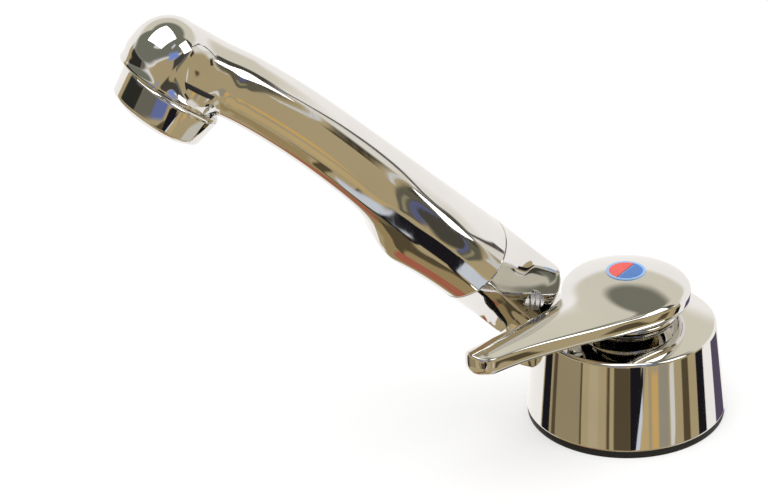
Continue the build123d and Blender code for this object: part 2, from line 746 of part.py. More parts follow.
# Knuckle: distance from the hinge, top, depth, near side and far side, which clears the post
knuckle_stations = [
    (-9.5, 9.8, 11.6, (1.2, 4.4, 1.15, 5.0, 1.1, 8.6, 1.0), far_flat),
    (0.0, 9.8, 12.0, (5.0, 4.4, 4.8, 5.1, 4.4, 9.0, 3.6), far_flat),
    (8.6, 9.4, 12.3, (9.4, 4.0, 9.0, 5.7, 6.9, 9.9, 3.6), far_flat),
    (14.0, 8.9, 12.8, (12.3, 3.2, 11.8, 6.0, 8.7, 10.6, 3.8), (11.4, 3.2, 10.9, 6.0, 8.3, 10.6, 3.8)),
    (seam_reach - seam_gap, 8.5, 13.4, seam_side, seam_side),
]

# Knuckle: near side tapering from the roll seam to the hinge pin, and a narrow tongue beside the post
knuckle_end = seam_reach - seam_gap
heel = (-0.8, -11.6)
rear_top = (-2.5, 9.7)
rear_corner = (-5.4, 8.1)
rear_low = (-7.2, 5.6)
tongue_low = (heel[0], -sqrt(tongue_radius**2 - heel[0]**2))
passage_radius = 1.3
spigot_root = 6.0
spigot_bore = 3.4
profile_top = 12.0
profile_bottom = -16.0
profile_end = knuckle_end + 1.0
profile_half_width = 20.0
tongue_turn = (-tongue_radius * 0.6, -tongue_radius * 0.8)
corner_play = 0.2
with BuildPart() as spout_knuckle:
    loft(sections=[hull_section(*station) for station in knuckle_stations], ruled=True)
    with BuildSketch(spout_side):
        with BuildLine():
            Polyline((profile_end, profile_top), (rear_top[0], profile_top), rear_top)
            ThreePointArc(rear_top, rear_corner, rear_low)
            Line(rear_low, (-tongue_radius, 0))
            ThreePointArc((-tongue_radius, 0), tongue_turn, tongue_low)
            Polyline(tongue_low, heel, (heel[0], profile_bottom), (profile_end, profile_bottom),
                     (profile_end, profile_top))
        make_face()
    extrude(amount=profile_half_width, both=True, mode=Mode.INTERSECT)
    corner_x = -hinge_reach + tongue_corner_reach
    corner_y = tongue_corner - tongue_half_width + corner_play
    with BuildSketch(Plane.XY.offset(hinge_height - 2 * tongue_radius)):
        with Locations((corner_x + tongue_corner, corner_y - tongue_corner)):
            Rectangle(2 * tongue_corner, 2 * tongue_corner)
        with Locations((corner_x, corner_y)):
            Circle(tongue_corner, mode=Mode.SUBTRACT)
    extrude(amount=4 * tongue_radius, mode=Mode.SUBTRACT)
    with BuildSketch(vertical_side.offset(-pin_shoulder - running_gap)):
        Circle(pin_radius + running_gap)
    extrude(amount=pin_shoulder + running_gap + tongue_half_width, mode=Mode.SUBTRACT)
    with BuildSketch(vertical_side.offset(-pin_nose_end - nose_hole_reserve)):
        Circle(pin_nose_radius + running_gap)
    extrude(amount=pin_nose_end + nose_hole_reserve - pin_shoulder, mode=Mode.SUBTRACT)
    for side in (-1, 1):
        with BuildSketch(vertical_side.offset(side * seal_offset - seal_width / 2)):
            Circle(seal_reach)
        extrude(amount=seal_width, mode=Mode.SUBTRACT)
    with BuildSketch(Plane(origin=hinge_point, z_dir=along)):
        Circle(passage_radius)
    extrude(amount=knuckle_end - spigot_root, mode=Mode.SUBTRACT)
    with BuildSketch(spout_section(knuckle_end)):
        Circle(spigot_radius)
    extrude(amount=-spigot_root, mode=Mode.SUBTRACT)
save(spout_knuckle, "spout_knuckle")

with BuildPart() as hinge_o_rings:
    for side in (-1, 1):
        with BuildSketch(vertical_side.offset(side * seal_offset - seal_width / 2)):
            Circle(seal_reach)
            Circle(pin_radius + running_gap, mode=Mode.SUBTRACT)
        extrude(amount=seal_width)
save(hinge_o_rings, "hinge_o_rings")

# Roll joint: spigot fixed in the knuckle, with two seal grooves and a retaining groove
seal_stations = (3.2, 6.4)
roll_seal_width = 1.5
roll_seal_depth = 1.2
lock_station = 10.4
lock_width = 1.1
lock_depth = 0.9
lock_rise = 0.8
lock_split = 2.4
lock_play = 0.1
washer_play = 0.1
spigot_plane = spout_section(seam_reach)
with BuildPart() as roll_spigot:
    with BuildSketch(spout_section(knuckle_end - spigot_root)):
        Circle(spigot_radius)
        Circle(spigot_bore, mode=Mode.SUBTRACT)
    extrude(amount=spigot_root + seam_gap + spigot_length)
    for station in seal_stations:
        with BuildSketch(spigot_plane.offset(station)):
            Circle(spigot_radius + 1)
            Circle(spigot_radius - roll_seal_depth, mode=Mode.SUBTRACT)
        extrude(amount=roll_seal_width, mode=Mode.SUBTRACT)
    with BuildSketch(spigot_plane.offset(lock_station)):
        Circle(spigot_radius + 1)
        Circle(spigot_radius - lock_depth, mode=Mode.SUBTRACT)
    extrude(amount=lock_width, mode=Mode.SUBTRACT)
save(roll_spigot, "roll_spigot")

with BuildPart() as roll_o_rings:
    for station in seal_stations:
        with BuildSketch(spigot_plane.offset(station)):
            Circle(spigot_radius)
            Circle(spigot_radius - roll_seal_depth, mode=Mode.SUBTRACT)
        extrude(amount=roll_seal_width)
save(roll_o_rings, "roll_o_rings")

# Split retaining ring: sits in the spigot's groove and turns in the spout's wider groove
with BuildPart() as roll_retaining_ring:
    with BuildSketch(spigot_plane.offset(lock_station)):
        Circle(spigot_radius + lock_rise)
        Circle(spigot_radius - lock_depth, mode=Mode.SUBTRACT)
        with Locations((0, spigot_radius)):
            Rectangle(lock_split, 4 * (lock_rise + lock_play), mode=Mode.SUBTRACT)
    extrude(amount=lock_width)
save(roll_retaining_ring, "roll_retaining_ring")

with BuildPart() as seam_washer:
    with BuildSketch(spout_section(knuckle_end)):
        Circle(seam_washer_radius)
        Circle(spigot_radius, mode=Mode.SUBTRACT)
    extrude(amount=seam_gap - washer_play)
save(seam_washer, "seam_washer")

# Front of the spout: wide keeled rear, step up to the bent tube, round head with a nose over the nozzle
socket_depth = spigot_length + socket_play


def bend_path(start, end):
    """Arc of the centre line between two distances from the hinge, in the spout's side plane."""
    first = 90 - degrees((start - seam_reach) / bend_radius)
    last = 90 - degrees((end - seam_reach) / bend_radius)
    with BuildLine(spout_side) as path:
        CenterArc((seam_reach, -bend_radius), bend_radius, first, last - first)
    return path.line


dome_centre = dome_height - head_radius
nose_centre = dome_height - nose_radius
nose_point = head_point + nozzle_forward * nose_reach
water_path = bend_path(seam_reach + socket_depth, spout_length)
water_start = Plane(origin=water_path @ 0, z_dir=water_path % 0)
with BuildPart() as spout_shell:
    loft(sections=[hull_section(*station, station[3]) for station in hull_stations], ruled=True)
    with BuildSketch(Plane(origin=head_point, x_dir=-nozzle_down, z_dir=(0, 1, 0))):
        with BuildLine():
            Line((-nozzle_drop, 0), (-nozzle_drop, head_radius))
            Line((-nozzle_drop, head_radius), (dome_centre, head_radius))
            RadiusArc((dome_centre, head_radius), (dome_height, 0), head_radius)
            Line((dome_height, 0), (-nozzle_drop, 0))
        make_face()
    revolve(axis=Axis(head_point, nozzle_down))
    with BuildSketch(Plane(origin=nose_point, x_dir=-nozzle_down, z_dir=(0, 1, 0))):
        with BuildLine():
            Line((-nose_bottom, 0), (-nose_bottom, nose_radius - nose_rounding))
            Line((-nose_bottom, nose_radius - nose_rounding), (nose_rounding - nose_bottom, nose_radius))
            Line((nose_rounding - nose_bottom, nose_radius), (nose_centre, nose_radius))
            RadiusArc((nose_centre, nose_radius), (dome_height, 0), nose_radius)
            Line((dome_height, 0), (-nose_bottom, 0))
        make_face()
    revolve(axis=Axis(nose_point, nozzle_down))
    with BuildSketch(nozzle_plane.offset(nozzle_drop)):
        Circle(ring_radius + 1.0)
    extrude(amount=2.0, mode=Mode.SUBTRACT)
    with BuildSketch(nozzle_plane.offset(nozzle_drop)):
        Circle(nozzle_bore)
    extrude(amount=-nozzle_bore_depth, mode=Mode.SUBTRACT)
    with BuildSketch(nozzle_plane.offset(nozzle_drop)):
        Circle(water_tube_bore)
    extrude(amount=-nozzle_drop - 1.0, mode=Mode.SUBTRACT)
    with BuildSketch(water_start):
        Circle(water_tube_radius)
    sweep(path=water_path, mode=Mode.SUBTRACT)
    with BuildSketch(spigot_plane):
        Circle(spigot_radius + running_gap)
    extrude(amount=socket_depth, mode=Mode.SUBTRACT)
    with BuildSketch(spigot_plane.offset(lock_station - lock_play)):
        Circle(spigot_radius + lock_rise + lock_play)
    extrude(amount=lock_width + 2 * lock_play, mode=Mode.SUBTRACT)
save(spout_shell, "spout_shell")

tube_trim = 12.5
tube_path = bend_path(seam_reach + socket_depth, spout_length - tube_trim)
with BuildPart() as spout_water_tube:
    with BuildSketch(water_start):
        Circle(water_tube_radius)
        Circle(water_tube_bore, mode=Mode.SUBTRACT)
    sweep(path=tube_path)
save(spout_water_tube, "spout_water_tube")

# Aerator: gasket, chrome housing screwed into the head, plastic flow insert and mesh screen
aerator_start = nozzle_drop - nozzle_bore_depth
gasket_thickness = 1.0
housing_start = aerator_start + gasket_thickness
housing_end = nozzle_drop + nozzle_height
insert_radius = 8.8
lip_radius = 8.0
lip_thickness = 1.0
lip_rounding = 1.2
screen_thickness = 0.5
screen_pitch = 1.9
screen_hole = 1.2
insert_end = housing_end - lip_thickness - screen_thickness
insert_port_radius = 1.2
insert_centre_radius = 1.6
insert_port_reach = 4.6
insert_well = 3.0
insert_wall = 1.4
gasket_width = 2.0
screen_rim = 1.0
with BuildPart() as aerator_gasket:
    with BuildSketch(nozzle_plane.offset(aerator_start)):
        Circle(nozzle_bore)
        Circle(insert_radius - gasket_width, mode=Mode.SUBTRACT)
    extrude(amount=gasket_thickness)
save(aerator_gasket, "aerator_gasket")

with BuildPart() as aerator_housing:
    with BuildSketch(Plane(origin=head_point, x_dir=nozzle_down, z_dir=(0, -1, 0))):
        with BuildLine():
            Polyline((housing_start, insert_radius), (housing_start, nozzle_bore), (nozzle_drop, nozzle_bore),
                     (nozzle_drop, groove_radius), (nozzle_drop + groove_width, groove_radius),
                     (nozzle_drop + groove_width, ring_radius), (housing_end - lip_rounding, ring_radius))
            ThreePointArc((housing_end - lip_rounding, ring_radius),
                          (housing_end - lip_rounding * 0.3, ring_radius - lip_rounding * 0.3),
                          (housing_end, ring_radius - lip_rounding))
            Polyline((housing_end, ring_radius - lip_rounding), (housing_end, lip_radius),
                     (housing_end - lip_thickness, lip_radius), (housing_end - lip_thickness, insert_radius),
                     (housing_start, insert_radius))
        make_face()
    revolve(axis=Axis(head_point, nozzle_down))
save(aerator_housing, "aerator_housing")

with BuildPart() as aerator_screen:
    with BuildSketch(nozzle_plane.offset(insert_end)):
        Circle(insert_radius)
        with GridLocations(screen_pitch, screen_pitch, 7, 7):
            Rectangle(screen_hole, screen_hole, mode=Mode.SUBTRACT)
        with BuildSketch(mode=Mode.PRIVATE) as rim:
            Circle(insert_radius)
            Circle(insert_radius - screen_rim, mode=Mode.SUBTRACT)
        add(rim.sketch)
    extrude(amount=screen_thickness)
save(aerator_screen, "aerator_screen")

with BuildPart() as aerator_insert:
    with BuildSketch(nozzle_plane.offset(housing_start)):
        Circle(insert_radius)
        with PolarLocations(insert_port_reach, 8):
            Circle(insert_port_radius, mode=Mode.SUBTRACT)
        Circle(insert_centre_radius, mode=Mode.SUBTRACT)
    extrude(amount=insert_end - housing_start)
    with BuildSketch(nozzle_plane.offset(insert_end - insert_well)):
        Circle(insert_radius - insert_wall)
    extrude(amount=insert_well, mode=Mode.SUBTRACT)
save(aerator_insert, "aerator_insert")
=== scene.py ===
"""Smooth chrome shells, fittings and studio of a single-lever mixer tap with a folding spout."""

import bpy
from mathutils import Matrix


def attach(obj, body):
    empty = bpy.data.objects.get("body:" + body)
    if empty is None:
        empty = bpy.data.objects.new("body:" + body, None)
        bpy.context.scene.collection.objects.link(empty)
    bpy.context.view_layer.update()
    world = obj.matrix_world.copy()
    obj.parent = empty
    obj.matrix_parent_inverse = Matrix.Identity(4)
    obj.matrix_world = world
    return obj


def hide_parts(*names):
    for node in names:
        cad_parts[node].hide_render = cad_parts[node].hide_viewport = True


bl_info = {
    "name": "Mixer Tap Looks",
    "version": (1, 0, 0),
    "blender": (4, 5, 0),
    "location": "3D View > Sidebar > Mixer Tap",
    "description": "Builds the chrome shells, seals and fittings of a single-lever mixer tap",
    "category": "Object",
}

from math import asin, cos, degrees, pi, radians, sin, sqrt, tan
from types import SimpleNamespace

import bmesh
import bpy
from mathutils import Matrix, Vector

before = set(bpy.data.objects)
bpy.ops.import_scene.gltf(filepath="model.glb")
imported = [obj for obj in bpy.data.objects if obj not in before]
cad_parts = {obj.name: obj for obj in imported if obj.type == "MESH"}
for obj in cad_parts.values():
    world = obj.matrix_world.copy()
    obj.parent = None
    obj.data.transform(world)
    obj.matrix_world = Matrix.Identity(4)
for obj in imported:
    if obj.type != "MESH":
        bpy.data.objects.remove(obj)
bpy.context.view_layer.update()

MM = 0.001
FULL_TURN = 2 * pi

# Directions shared by the pieces, in the frame of the part
SPOUT_RISE = radians(48.9)
ALONG = Vector((-cos(SPOUT_RISE), 0, sin(SPOUT_RISE)))
ABOVE = Vector((sin(SPOUT_RISE), 0, cos(SPOUT_RISE)))
NEAR = Vector((0, -1, 0))
UP = Vector((0, 0, 1))


def length(name, description, default):
    """A length property, in metres, with its default given in millimetres."""
    return bpy.props.FloatProperty(name=name, description=description, default=default * MM,
                                   min=0.0, unit="LENGTH", precision=4)


def height(name, description, default):
    """A height property that may lie below the worktop's face."""
    return bpy.props.FloatProperty(name=name, description=description, default=default * MM,
                                   unit="LENGTH", precision=4)


def colour(name, description, default):
    """A colour property."""
    return bpy.props.FloatVectorProperty(name=name, description=description, default=default,
                                         size=3, min=0.0, max=1.0, subtype="COLOR")


class TAP_PG_body(bpy.types.PropertyGroup):
    """Sizes of the round body, its seal and the collar."""

    radius: length("Body radius", "Outer radius of the chrome cup", 25.0)
    top: height("Body top", "Height of the cup's flat top", 27.4)
    bottom: height("Body bottom", "Height of the cup's lower edge", 1.8)
    rim: length("Rim fillet", "Rounding of the cup's top edge", 3.0)
    neck_hole: length("Neck hole", "Radius of the hole in the cup's top", 13.0)
    seal_radius: length("Seal radius", "Outer radius of the black seal", 24.6)
    seal_thickness: length("Seal thickness", "Thickness of the black seal", 1.5)
    seal_hole: length("Seal hole", "Inner radius of the black seal", 16.5)
    neck_radius: length("Neck radius", "Radius of the chrome collar", 12.0)
    neck_top: height("Neck top", "Height of the collar's upper edge", 30.0)


class TAP_PG_lever(bpy.types.PropertyGroup):
    """Sizes of the cap and its long handle."""

    cap_radius: length("Cap radius", "Radius of the round cap", 16.5)
    cap_top: height("Cap top", "Height of the cap's crown", 40.0)
    cap_rim_bottom: height("Cap rim", "Height of the cap's lower edge", 31.0)
    cap_dome: length("Dome radius", "Radius of the cap's domed top", 33.0)
    tip_reach: length("Tip reach", "Distance from the axis to the tip's centre", 52.2)
    tip_radius: length("Tip radius", "Radius of the handle's tip", 4.7)
    root_height: height("Root height", "Height of the handle's top at the axis", 36.6)
    tip_height: height("Tip height", "Height of the handle's top at the tip", 39.4)
    root_thickness: length("Root thickness", "Thickness of the handle at the axis", 4.6)
    tip_thickness: length("Tip thickness", "Thickness of the handle at the tip", 5.6)
    hollow_radius: length("Hollow radius", "Radius of the recess under the cap", 14.2)
    hollow_top: height("Hollow top", "Height of the recess's ceiling", 35.0)
    indicator_radius: length("Indicator radius", "Radius of the round indicator", 5.0)


class TAP_PG_spout(bpy.types.PropertyGroup):
    """Sizes of the spout, from the fold hinge to the aerator."""

    hinge_reach: length("Hinge reach", "Distance of the fold hinge from the axis", 26.5)
    hinge_height: height("Hinge height", "Height of the fold hinge", 39.0)
    seam: length("Seam reach", "Distance from the hinge to the roll seam", 19.8)
    seam_gap: length("Seam gap", "Gap of the roll seam", 0.3)
    bend_radius: length("Bend radius", "Radius of the spout's long bend", 364.0)
    reach: length("Spout length", "Distance along the spout from the hinge to the head", 110.65)
    tongue_radius: length("Tongue radius", "Radius of the hinge tongue", 8.5)
    tongue_half: length("Tongue half width", "Half the width of the hinge tongue", 4.0)
    nose_radius: length("Nose radius", "Radius of the rounded nose over the nozzle", 9.5)
    nose_reach: length("Nose reach", "How far the nose's centre stands before the nozzle's axis", 5.6)
    skirt_radius: length("Skirt radius", "Radius of the skirt above the aerator", 11.9)
    ring_radius: length("Ring radius", "Radius of the aerator's chrome ring", 12.0)
    head_drop: length("Head drop", "From the centre line down to the head's lower rim", 7.4)
    dome: length("Dome height", "From the centre line up to the head's crown", 8.25)
    ring_height: length("Ring height", "Height of the aerator's chrome ring", 8.2)


class TAP_PG_finish(bpy.types.PropertyGroup):
    """Colours of the finishes."""

    chrome: colour("Chrome", "Tint of the polished chrome", (0.80, 0.79, 0.77))
    rubber: colour("Rubber", "Colour of the black seals", (0.012, 0.012, 0.013))
    brass: colour("Brass", "Colour of the brass", (0.68, 0.48, 0.20))
    copper: colour("Copper", "Colour of the copper tails", (0.80, 0.42, 0.27))
    steel: colour("Steel", "Colour of the plain steel", (0.56, 0.56, 0.57))
    white: colour("White plastic", "Colour of the plain plastic", (0.80, 0.80, 0.78))
    grey: colour("Grey plastic", "Colour of the cartridge", (0.28, 0.29, 0.31))
    ceramic: colour("Ceramic", "Colour of the ceramic discs", (0.85, 0.84, 0.80))
    rim_blue: colour("Indicator rim", "Colour of the indicator's rim", (0.25, 0.46, 0.78))
    hot: colour("Hot", "Colour of the warm half", (0.80, 0.06, 0.05))
    cold: colour("Cold", "Colour of the cold half", (0.012, 0.15, 0.50))


class TAP_PG_stage(bpy.types.PropertyGroup):
    """Camera, floor and light."""

    lens: bpy.props.FloatProperty(name="Lens", description="Focal length in millimetres on a 36 mm sensor",
                                  default=131.25, min=1.0)
    pitch: bpy.props.FloatProperty(name="Pitch", description="How far the camera looks down",
                                   default=radians(27.36), subtype="ANGLE")
    roll: bpy.props.FloatProperty(name="Roll", description="Turn of the camera about its view",
                                  default=radians(-2.52), subtype="ANGLE")
    azimuth: bpy.props.FloatProperty(name="Azimuth", description="Turn of the view about the swivel axis",
                                     default=radians(16.0), subtype="ANGLE")
    place: bpy.props.FloatVectorProperty(name="Camera place", description="Where the camera stands",
                                         default=(-0.2297, -0.5813, 0.3698), size=3, unit="LENGTH")
    floor: colour("Floor", "Colour of the floor", (0.97, 0.97, 0.97))


def millimetres(group):
    """The lengths of a property group as plain numbers in millimetres."""
    names = [p.identifier for p in group.bl_rna.properties if p.type == "FLOAT" and not p.is_array]
    return SimpleNamespace(**{name: getattr(group, name) / MM for name in names})


# Geometry helpers. Shapes are drawn in millimetres and scaled to metres when they are finished.

def rounded(corners, steps=6):
    """Points of an open outline in the X and Z plane, from corners given as (x, z, radius)."""
    points = []
    for index, (x, z, radius) in enumerate(corners):
        corner = Vector((x, 0, z))
        if radius <= 0 or index in (0, len(corners) - 1):
            points.append(corner)
            continue
        before = Vector((corners[index - 1][0], 0, corners[index - 1][1])) - corner
        after = Vector((corners[index + 1][0], 0, corners[index + 1][1])) - corner
        half = before.angle(after) / 2
        start = corner + before.normalized() * (radius / tan(half))
        end = corner + after.normalized() * (radius / tan(half))
        centre = corner + (before.normalized() + after.normalized()).normalized() * (radius / sin(half))
        for step in range(steps + 1):
            part = step / steps
            point = (start - centre).slerp(end - centre, part) + centre
            points.append(point)
    return points


def spin_outline(bm, points, steps):
    """Turns a closed outline once round the vertical axis."""
    verts = [bm.verts.new(p) for p in points]
    edges = [bm.edges.new(pair) for pair in zip(verts, verts[1:])]
    edges.append(bm.edges.new((verts[-1], verts[0])))
    bmesh.ops.spin(bm, geom=verts + edges, cent=(0, 0, 0), axis=(0, 0, 1), dvec=(0, 0, 0),
                   angle=FULL_TURN, steps=steps, use_merge=True)
    bmesh.ops.remove_doubles(bm, verts=bm.verts, dist=1e-5)
    bmesh.ops.recalc_face_normals(bm, faces=bm.faces)


def loft(bm, rings, close_start=True, close_end=True):
    """Skins a run of closed rings that all have the same number of points. Returns the rings' vertices."""
    verts = [bm.verts.new(p) for p in rings[0]]
    edges = [bm.edges.new(pair) for pair in zip(verts, verts[1:] + verts[:1])]
    if close_start:
        bm.faces.new(verts)
    placed = [verts]
    for ring in rings[1:]:
        made = bmesh.ops.extrude_edge_only(bm, edges=edges)["geom"]
        fresh = {v for v in made if isinstance(v, bmesh.types.BMVert)}
        following = []
        for old in placed[-1]:
            following.append(next(e.other_vert(old) for e in old.link_edges if e.other_vert(old) in fresh))
        for vert, point in zip(following, ring):
            vert.co = point
        edges = [bm.edges.get(pair) for pair in zip(following, following[1:] + following[:1])]
        placed.append(following)
    if close_end:
        bm.faces.new(placed[-1])
    return placed


def crease(bm, first, second, value):
    """Makes the edge between two vertices sharper under subdivision."""
    layer = bm.edges.layers.float.get("crease_edge") or bm.edges.layers.float.new("crease_edge")
    edge = bm.edges.get((first, second))
    if edge is not None:
        edge[layer] = value


def finish_piece(bm, name, material, body, replaced=(), subdivisions=0, sharp=35):
    """Turns a bmesh drawn in millimetres into a shaded object that rides on a body."""
    bmesh.ops.scale(bm, vec=(MM, MM, MM), verts=bm.verts)
    mesh = bpy.data.meshes.new(name)
    bm.to_mesh(mesh)
    bm.free()
    piece = bpy.data.objects.new(name, mesh)
    bpy.context.scene.collection.objects.link(piece)
    mesh.shade_smooth()
    if subdivisions:
        smoothing = piece.modifiers.new("Smooth surface", "SUBSURF")
        smoothing.levels = subdivisions
        smoothing.render_levels = subdivisions
        smoothing.boundary_smooth = "PRESERVE_CORNERS"
    else:
        mesh.set_sharp_from_angle(angle=radians(sharp))
    mesh.materials.append(material)
    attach(piece, body)
    if replaced:
        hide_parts(*replaced)
    return piece


def bake_modifiers(piece, sharp=35):
    """Applies the modifiers of a piece to its mesh."""
    graph = bpy.context.evaluated_depsgraph_get()
    mesh = bpy.data.meshes.new_from_object(piece.evaluated_get(graph))
    piece.modifiers.clear()
    piece.data = mesh
    mesh.shade_smooth()
    mesh.set_sharp_from_angle(angle=radians(sharp))


def cut_with(piece, cutters):
    """Cuts round holes from a piece: each cutter is (radius, low, high) about the swivel axis."""
    bake_modifiers(piece)
    for radius, low, high in cutters:
        bm = bmesh.new()
        bmesh.ops.create_cone(bm, cap_ends=True, segments=96, radius1=radius * MM, radius2=radius * MM,
                              depth=(high - low) * MM)
        bmesh.ops.translate(bm, vec=(0, 0, (high + low) / 2 * MM), verts=bm.verts)
        mesh = bpy.data.meshes.new("cutter")
        bm.to_mesh(mesh)
        bm.free()
        cutter = bpy.data.objects.new("cutter", mesh)
        bpy.context.scene.collection.objects.link(cutter)
        cut = piece.modifiers.new("Cut", "BOOLEAN")
        cut.operation = "DIFFERENCE"
        cut.object = cutter
        cut.solver = "EXACT"
        bpy.context.view_layer.update()
        bake_modifiers(piece)
        bpy.data.objects.remove(cutter)


# Materials

def new_material(name):
    """A material with its node tree and its main shader."""
    material = bpy.data.materials.new(name)
    material.use_nodes = True
    return material, material.node_tree, material.node_tree.nodes["Principled BSDF"]


def add_node(tree, kind, inputs=(), **settings):
    """A shader node: each input is given as a plain value or as the socket that feeds it."""
    node = tree.nodes.new("ShaderNode" + kind)
    for name, value in settings.items():
        setattr(node, name, value)
    for name, value in dict(inputs).items():
        if isinstance(value, bpy.types.NodeSocket):
            tree.links.new(value, node.inputs[name])
        else:
            node.inputs[name].default_value = value
    return node


def maths(tree, operation, *values):
    """One step of arithmetic on links or plain numbers."""
    return add_node(tree, "Math", enumerate(values), operation=operation).outputs["Value"]


def object_noise(tree, scale, detail, stretch=(1, 1, 1)):
    """Noise on Object coordinates, stretched along the axes."""
    place = add_node(tree, "TexCoord").outputs["Object"]
    mapping = add_node(tree, "Mapping", {"Vector": place, "Scale": stretch})
    noise = add_node(tree, "TexNoise", {"Vector": mapping.outputs["Vector"], "Scale": scale,
                                        "Detail": detail})
    return noise.outputs["Fac"]


def ranged(tree, source, low, high):
    """Maps the middle of a noise to a range of values."""
    return add_node(tree, "MapRange", {"Value": source, "From Min": 0.35, "From Max": 0.65,
                                       "To Min": low, "To Max": high}).outputs["Result"]


def tinted(tree, source, first, second):
    """Mixes two colours by a factor."""
    inputs = {0: source, 6: (*first, 1), 7: (*second, 1)}
    return add_node(tree, "Mix", inputs, data_type="RGBA").outputs[2]


def bumped(tree, shader, source, distance):
    """Adds a bump from a height."""
    bump = add_node(tree, "Bump", {"Height": source, "Distance": distance, "Strength": 1.0})
    tree.links.new(bump.outputs["Normal"], shader.inputs["Normal"])


def metal(name, tint, low_rough, high_rough, ripple, wipe):
    """Metal with faint wipe marks in its gloss and a slight ripple in its plating."""
    material, tree, shader = new_material(name)
    shader.inputs["Metallic"].default_value = 1.0
    marks = object_noise(tree, 900.0, 3.0, (1.0, 0.25, 0.18))
    smears = object_noise(tree, 60.0, 2.0)
    darker = tuple(c * 0.93 for c in tint)
    tree.links.new(tinted(tree, ranged(tree, smears, 0.0, wipe), tint, darker),
                   shader.inputs["Base Color"])
    tree.links.new(ranged(tree, marks, low_rough, high_rough), shader.inputs["Roughness"])
    swell = object_noise(tree, 140.0, 1.0)
    bumped(tree, shader, swell, ripple)
    return material


def moulded(name, tint, roughness, grain, coat=0.0):
    """Moulded rubber, plastic or enamel with a fine grain."""
    material, tree, shader = new_material(name)
    shader.inputs["Coat Weight"].default_value = coat
    grains = object_noise(tree, 2600.0, 2.0)
    cloud = object_noise(tree, 120.0, 2.0)
    darker = tuple(c * 0.86 for c in tint)
    tree.links.new(tinted(tree, ranged(tree, cloud, 0.0, 1.0), tint, darker),
                   shader.inputs["Base Color"])
    tree.links.new(ranged(tree, grains, roughness * 0.85, roughness * 1.15),
                   shader.inputs["Roughness"])
    bumped(tree, shader, grains, grain)
    return material


FINISHES = {}


def finish(name):
    """The material of one finish, made once."""
    if name in FINISHES:
        return FINISHES[name]
    tints = bpy.context.scene.tap_finish
    makers = {
        "chrome": lambda: metal("Polished chrome", tuple(tints.chrome), 0.025, 0.06, 0.000004, 0.6),
        "steel": lambda: metal("Plain steel", tuple(tints.steel), 0.22, 0.34, 0.00001, 1.0),
        "brass": lambda: metal("Turned brass", tuple(tints.brass), 0.20, 0.32, 0.00001, 1.0),
        "copper": lambda: metal("Drawn copper", tuple(tints.copper), 0.24, 0.38, 0.00001, 1.0),
        "rubber": lambda: moulded("Black rubber", tuple(tints.rubber), 0.55, 0.00002),
        "white": lambda: moulded("White acetal", tuple(tints.white), 0.38, 0.000008),
        "grey": lambda: moulded("Grey cartridge plastic", tuple(tints.grey), 0.40, 0.000008),
        "ceramic": lambda: moulded("Ceramic", tuple(tints.ceramic), 0.16, 0.000002, 0.4),
        "rim_blue": lambda: moulded("Pale blue rim", tuple(tints.rim_blue), 0.25, 0.000003, 0.5),
        "hot": lambda: moulded("Warm red inlay", tuple(tints.hot), 0.22, 0.000003, 0.6),
        "cold": lambda: moulded("Cold blue inlay", tuple(tints.cold), 0.22, 0.000003, 0.6),
    }
    FINISHES[name] = makers[name]()
    return FINISHES[name]


def dress(node, name):
    """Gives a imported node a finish."""
    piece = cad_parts[node]
    material = finish(name)
    piece.data.materials.clear()
    piece.data.materials.append(material)


# Spout geometry

# Sides of the sections across the spout: widest point, upper crease, keel crease, flank and keel corner,
# each given as (out, down) from the centre line
SEAM_SIDE = ((15.3, 2.2), (15.3, 2.2), (14.5, 6.2), (10.4, 11.2), (4.0, 13.4))
# Front of the spout: distance from the hinge, height of the top, side
FRONT = (
    (19.8, 8.4, SEAM_SIDE),
    (29.0, 7.71, ((14.1, 2.7), (14.1, 2.7), (13.3, 6.5), (9.8, 11.5), (4.2, 14.1))),
    (39.0, 7.23, ((12.1, 3.3), (12.1, 3.3), (11.5, 6.9), (8.8, 11.8), (4.4, 15.0))),
    (44.0, 7.09, ((11.2, 3.5), (11.2, 3.5), (10.8, 7.1), (8.2, 11.2), (4.4, 13.8))),
    (49.0, 7.02, ((10.4, 3.6), (10.4, 3.7), (10.1, 7.3), (7.5, 10.1), (4.3, 11.3))),
    (54.0, 7.02, ((9.8, 3.5), (9.8, 3.9), (9.4, 7.3), (6.9, 9.3), (4.1, 9.9))),
    (61.0, 7.13, ((9.25, 3.1), (9.1, 4.2), (8.6, 7.0), (6.3, 8.6), (3.8, 9.1))),
    (69.0, 7.43, ((8.8, 2.5), (8.5, 4.3), (7.9, 6.4), (5.8, 8.0), (3.4, 8.6))),
    (78.0, 7.84, ((8.5, 1.9), (8.0, 4.4), (7.3, 5.9), (5.4, 7.4), (3.2, 8.1))),
    (90.0, 8.2, ((8.25, 1.3), (7.65, 4.2), (6.9, 5.4), (5.0, 6.9), (3.0, 7.6))),
    (104.0, 8.35, ((8.1, 1.0), (7.5, 4.0), (6.7, 5.2), (4.9, 6.8), (3.0, 7.5))),
)
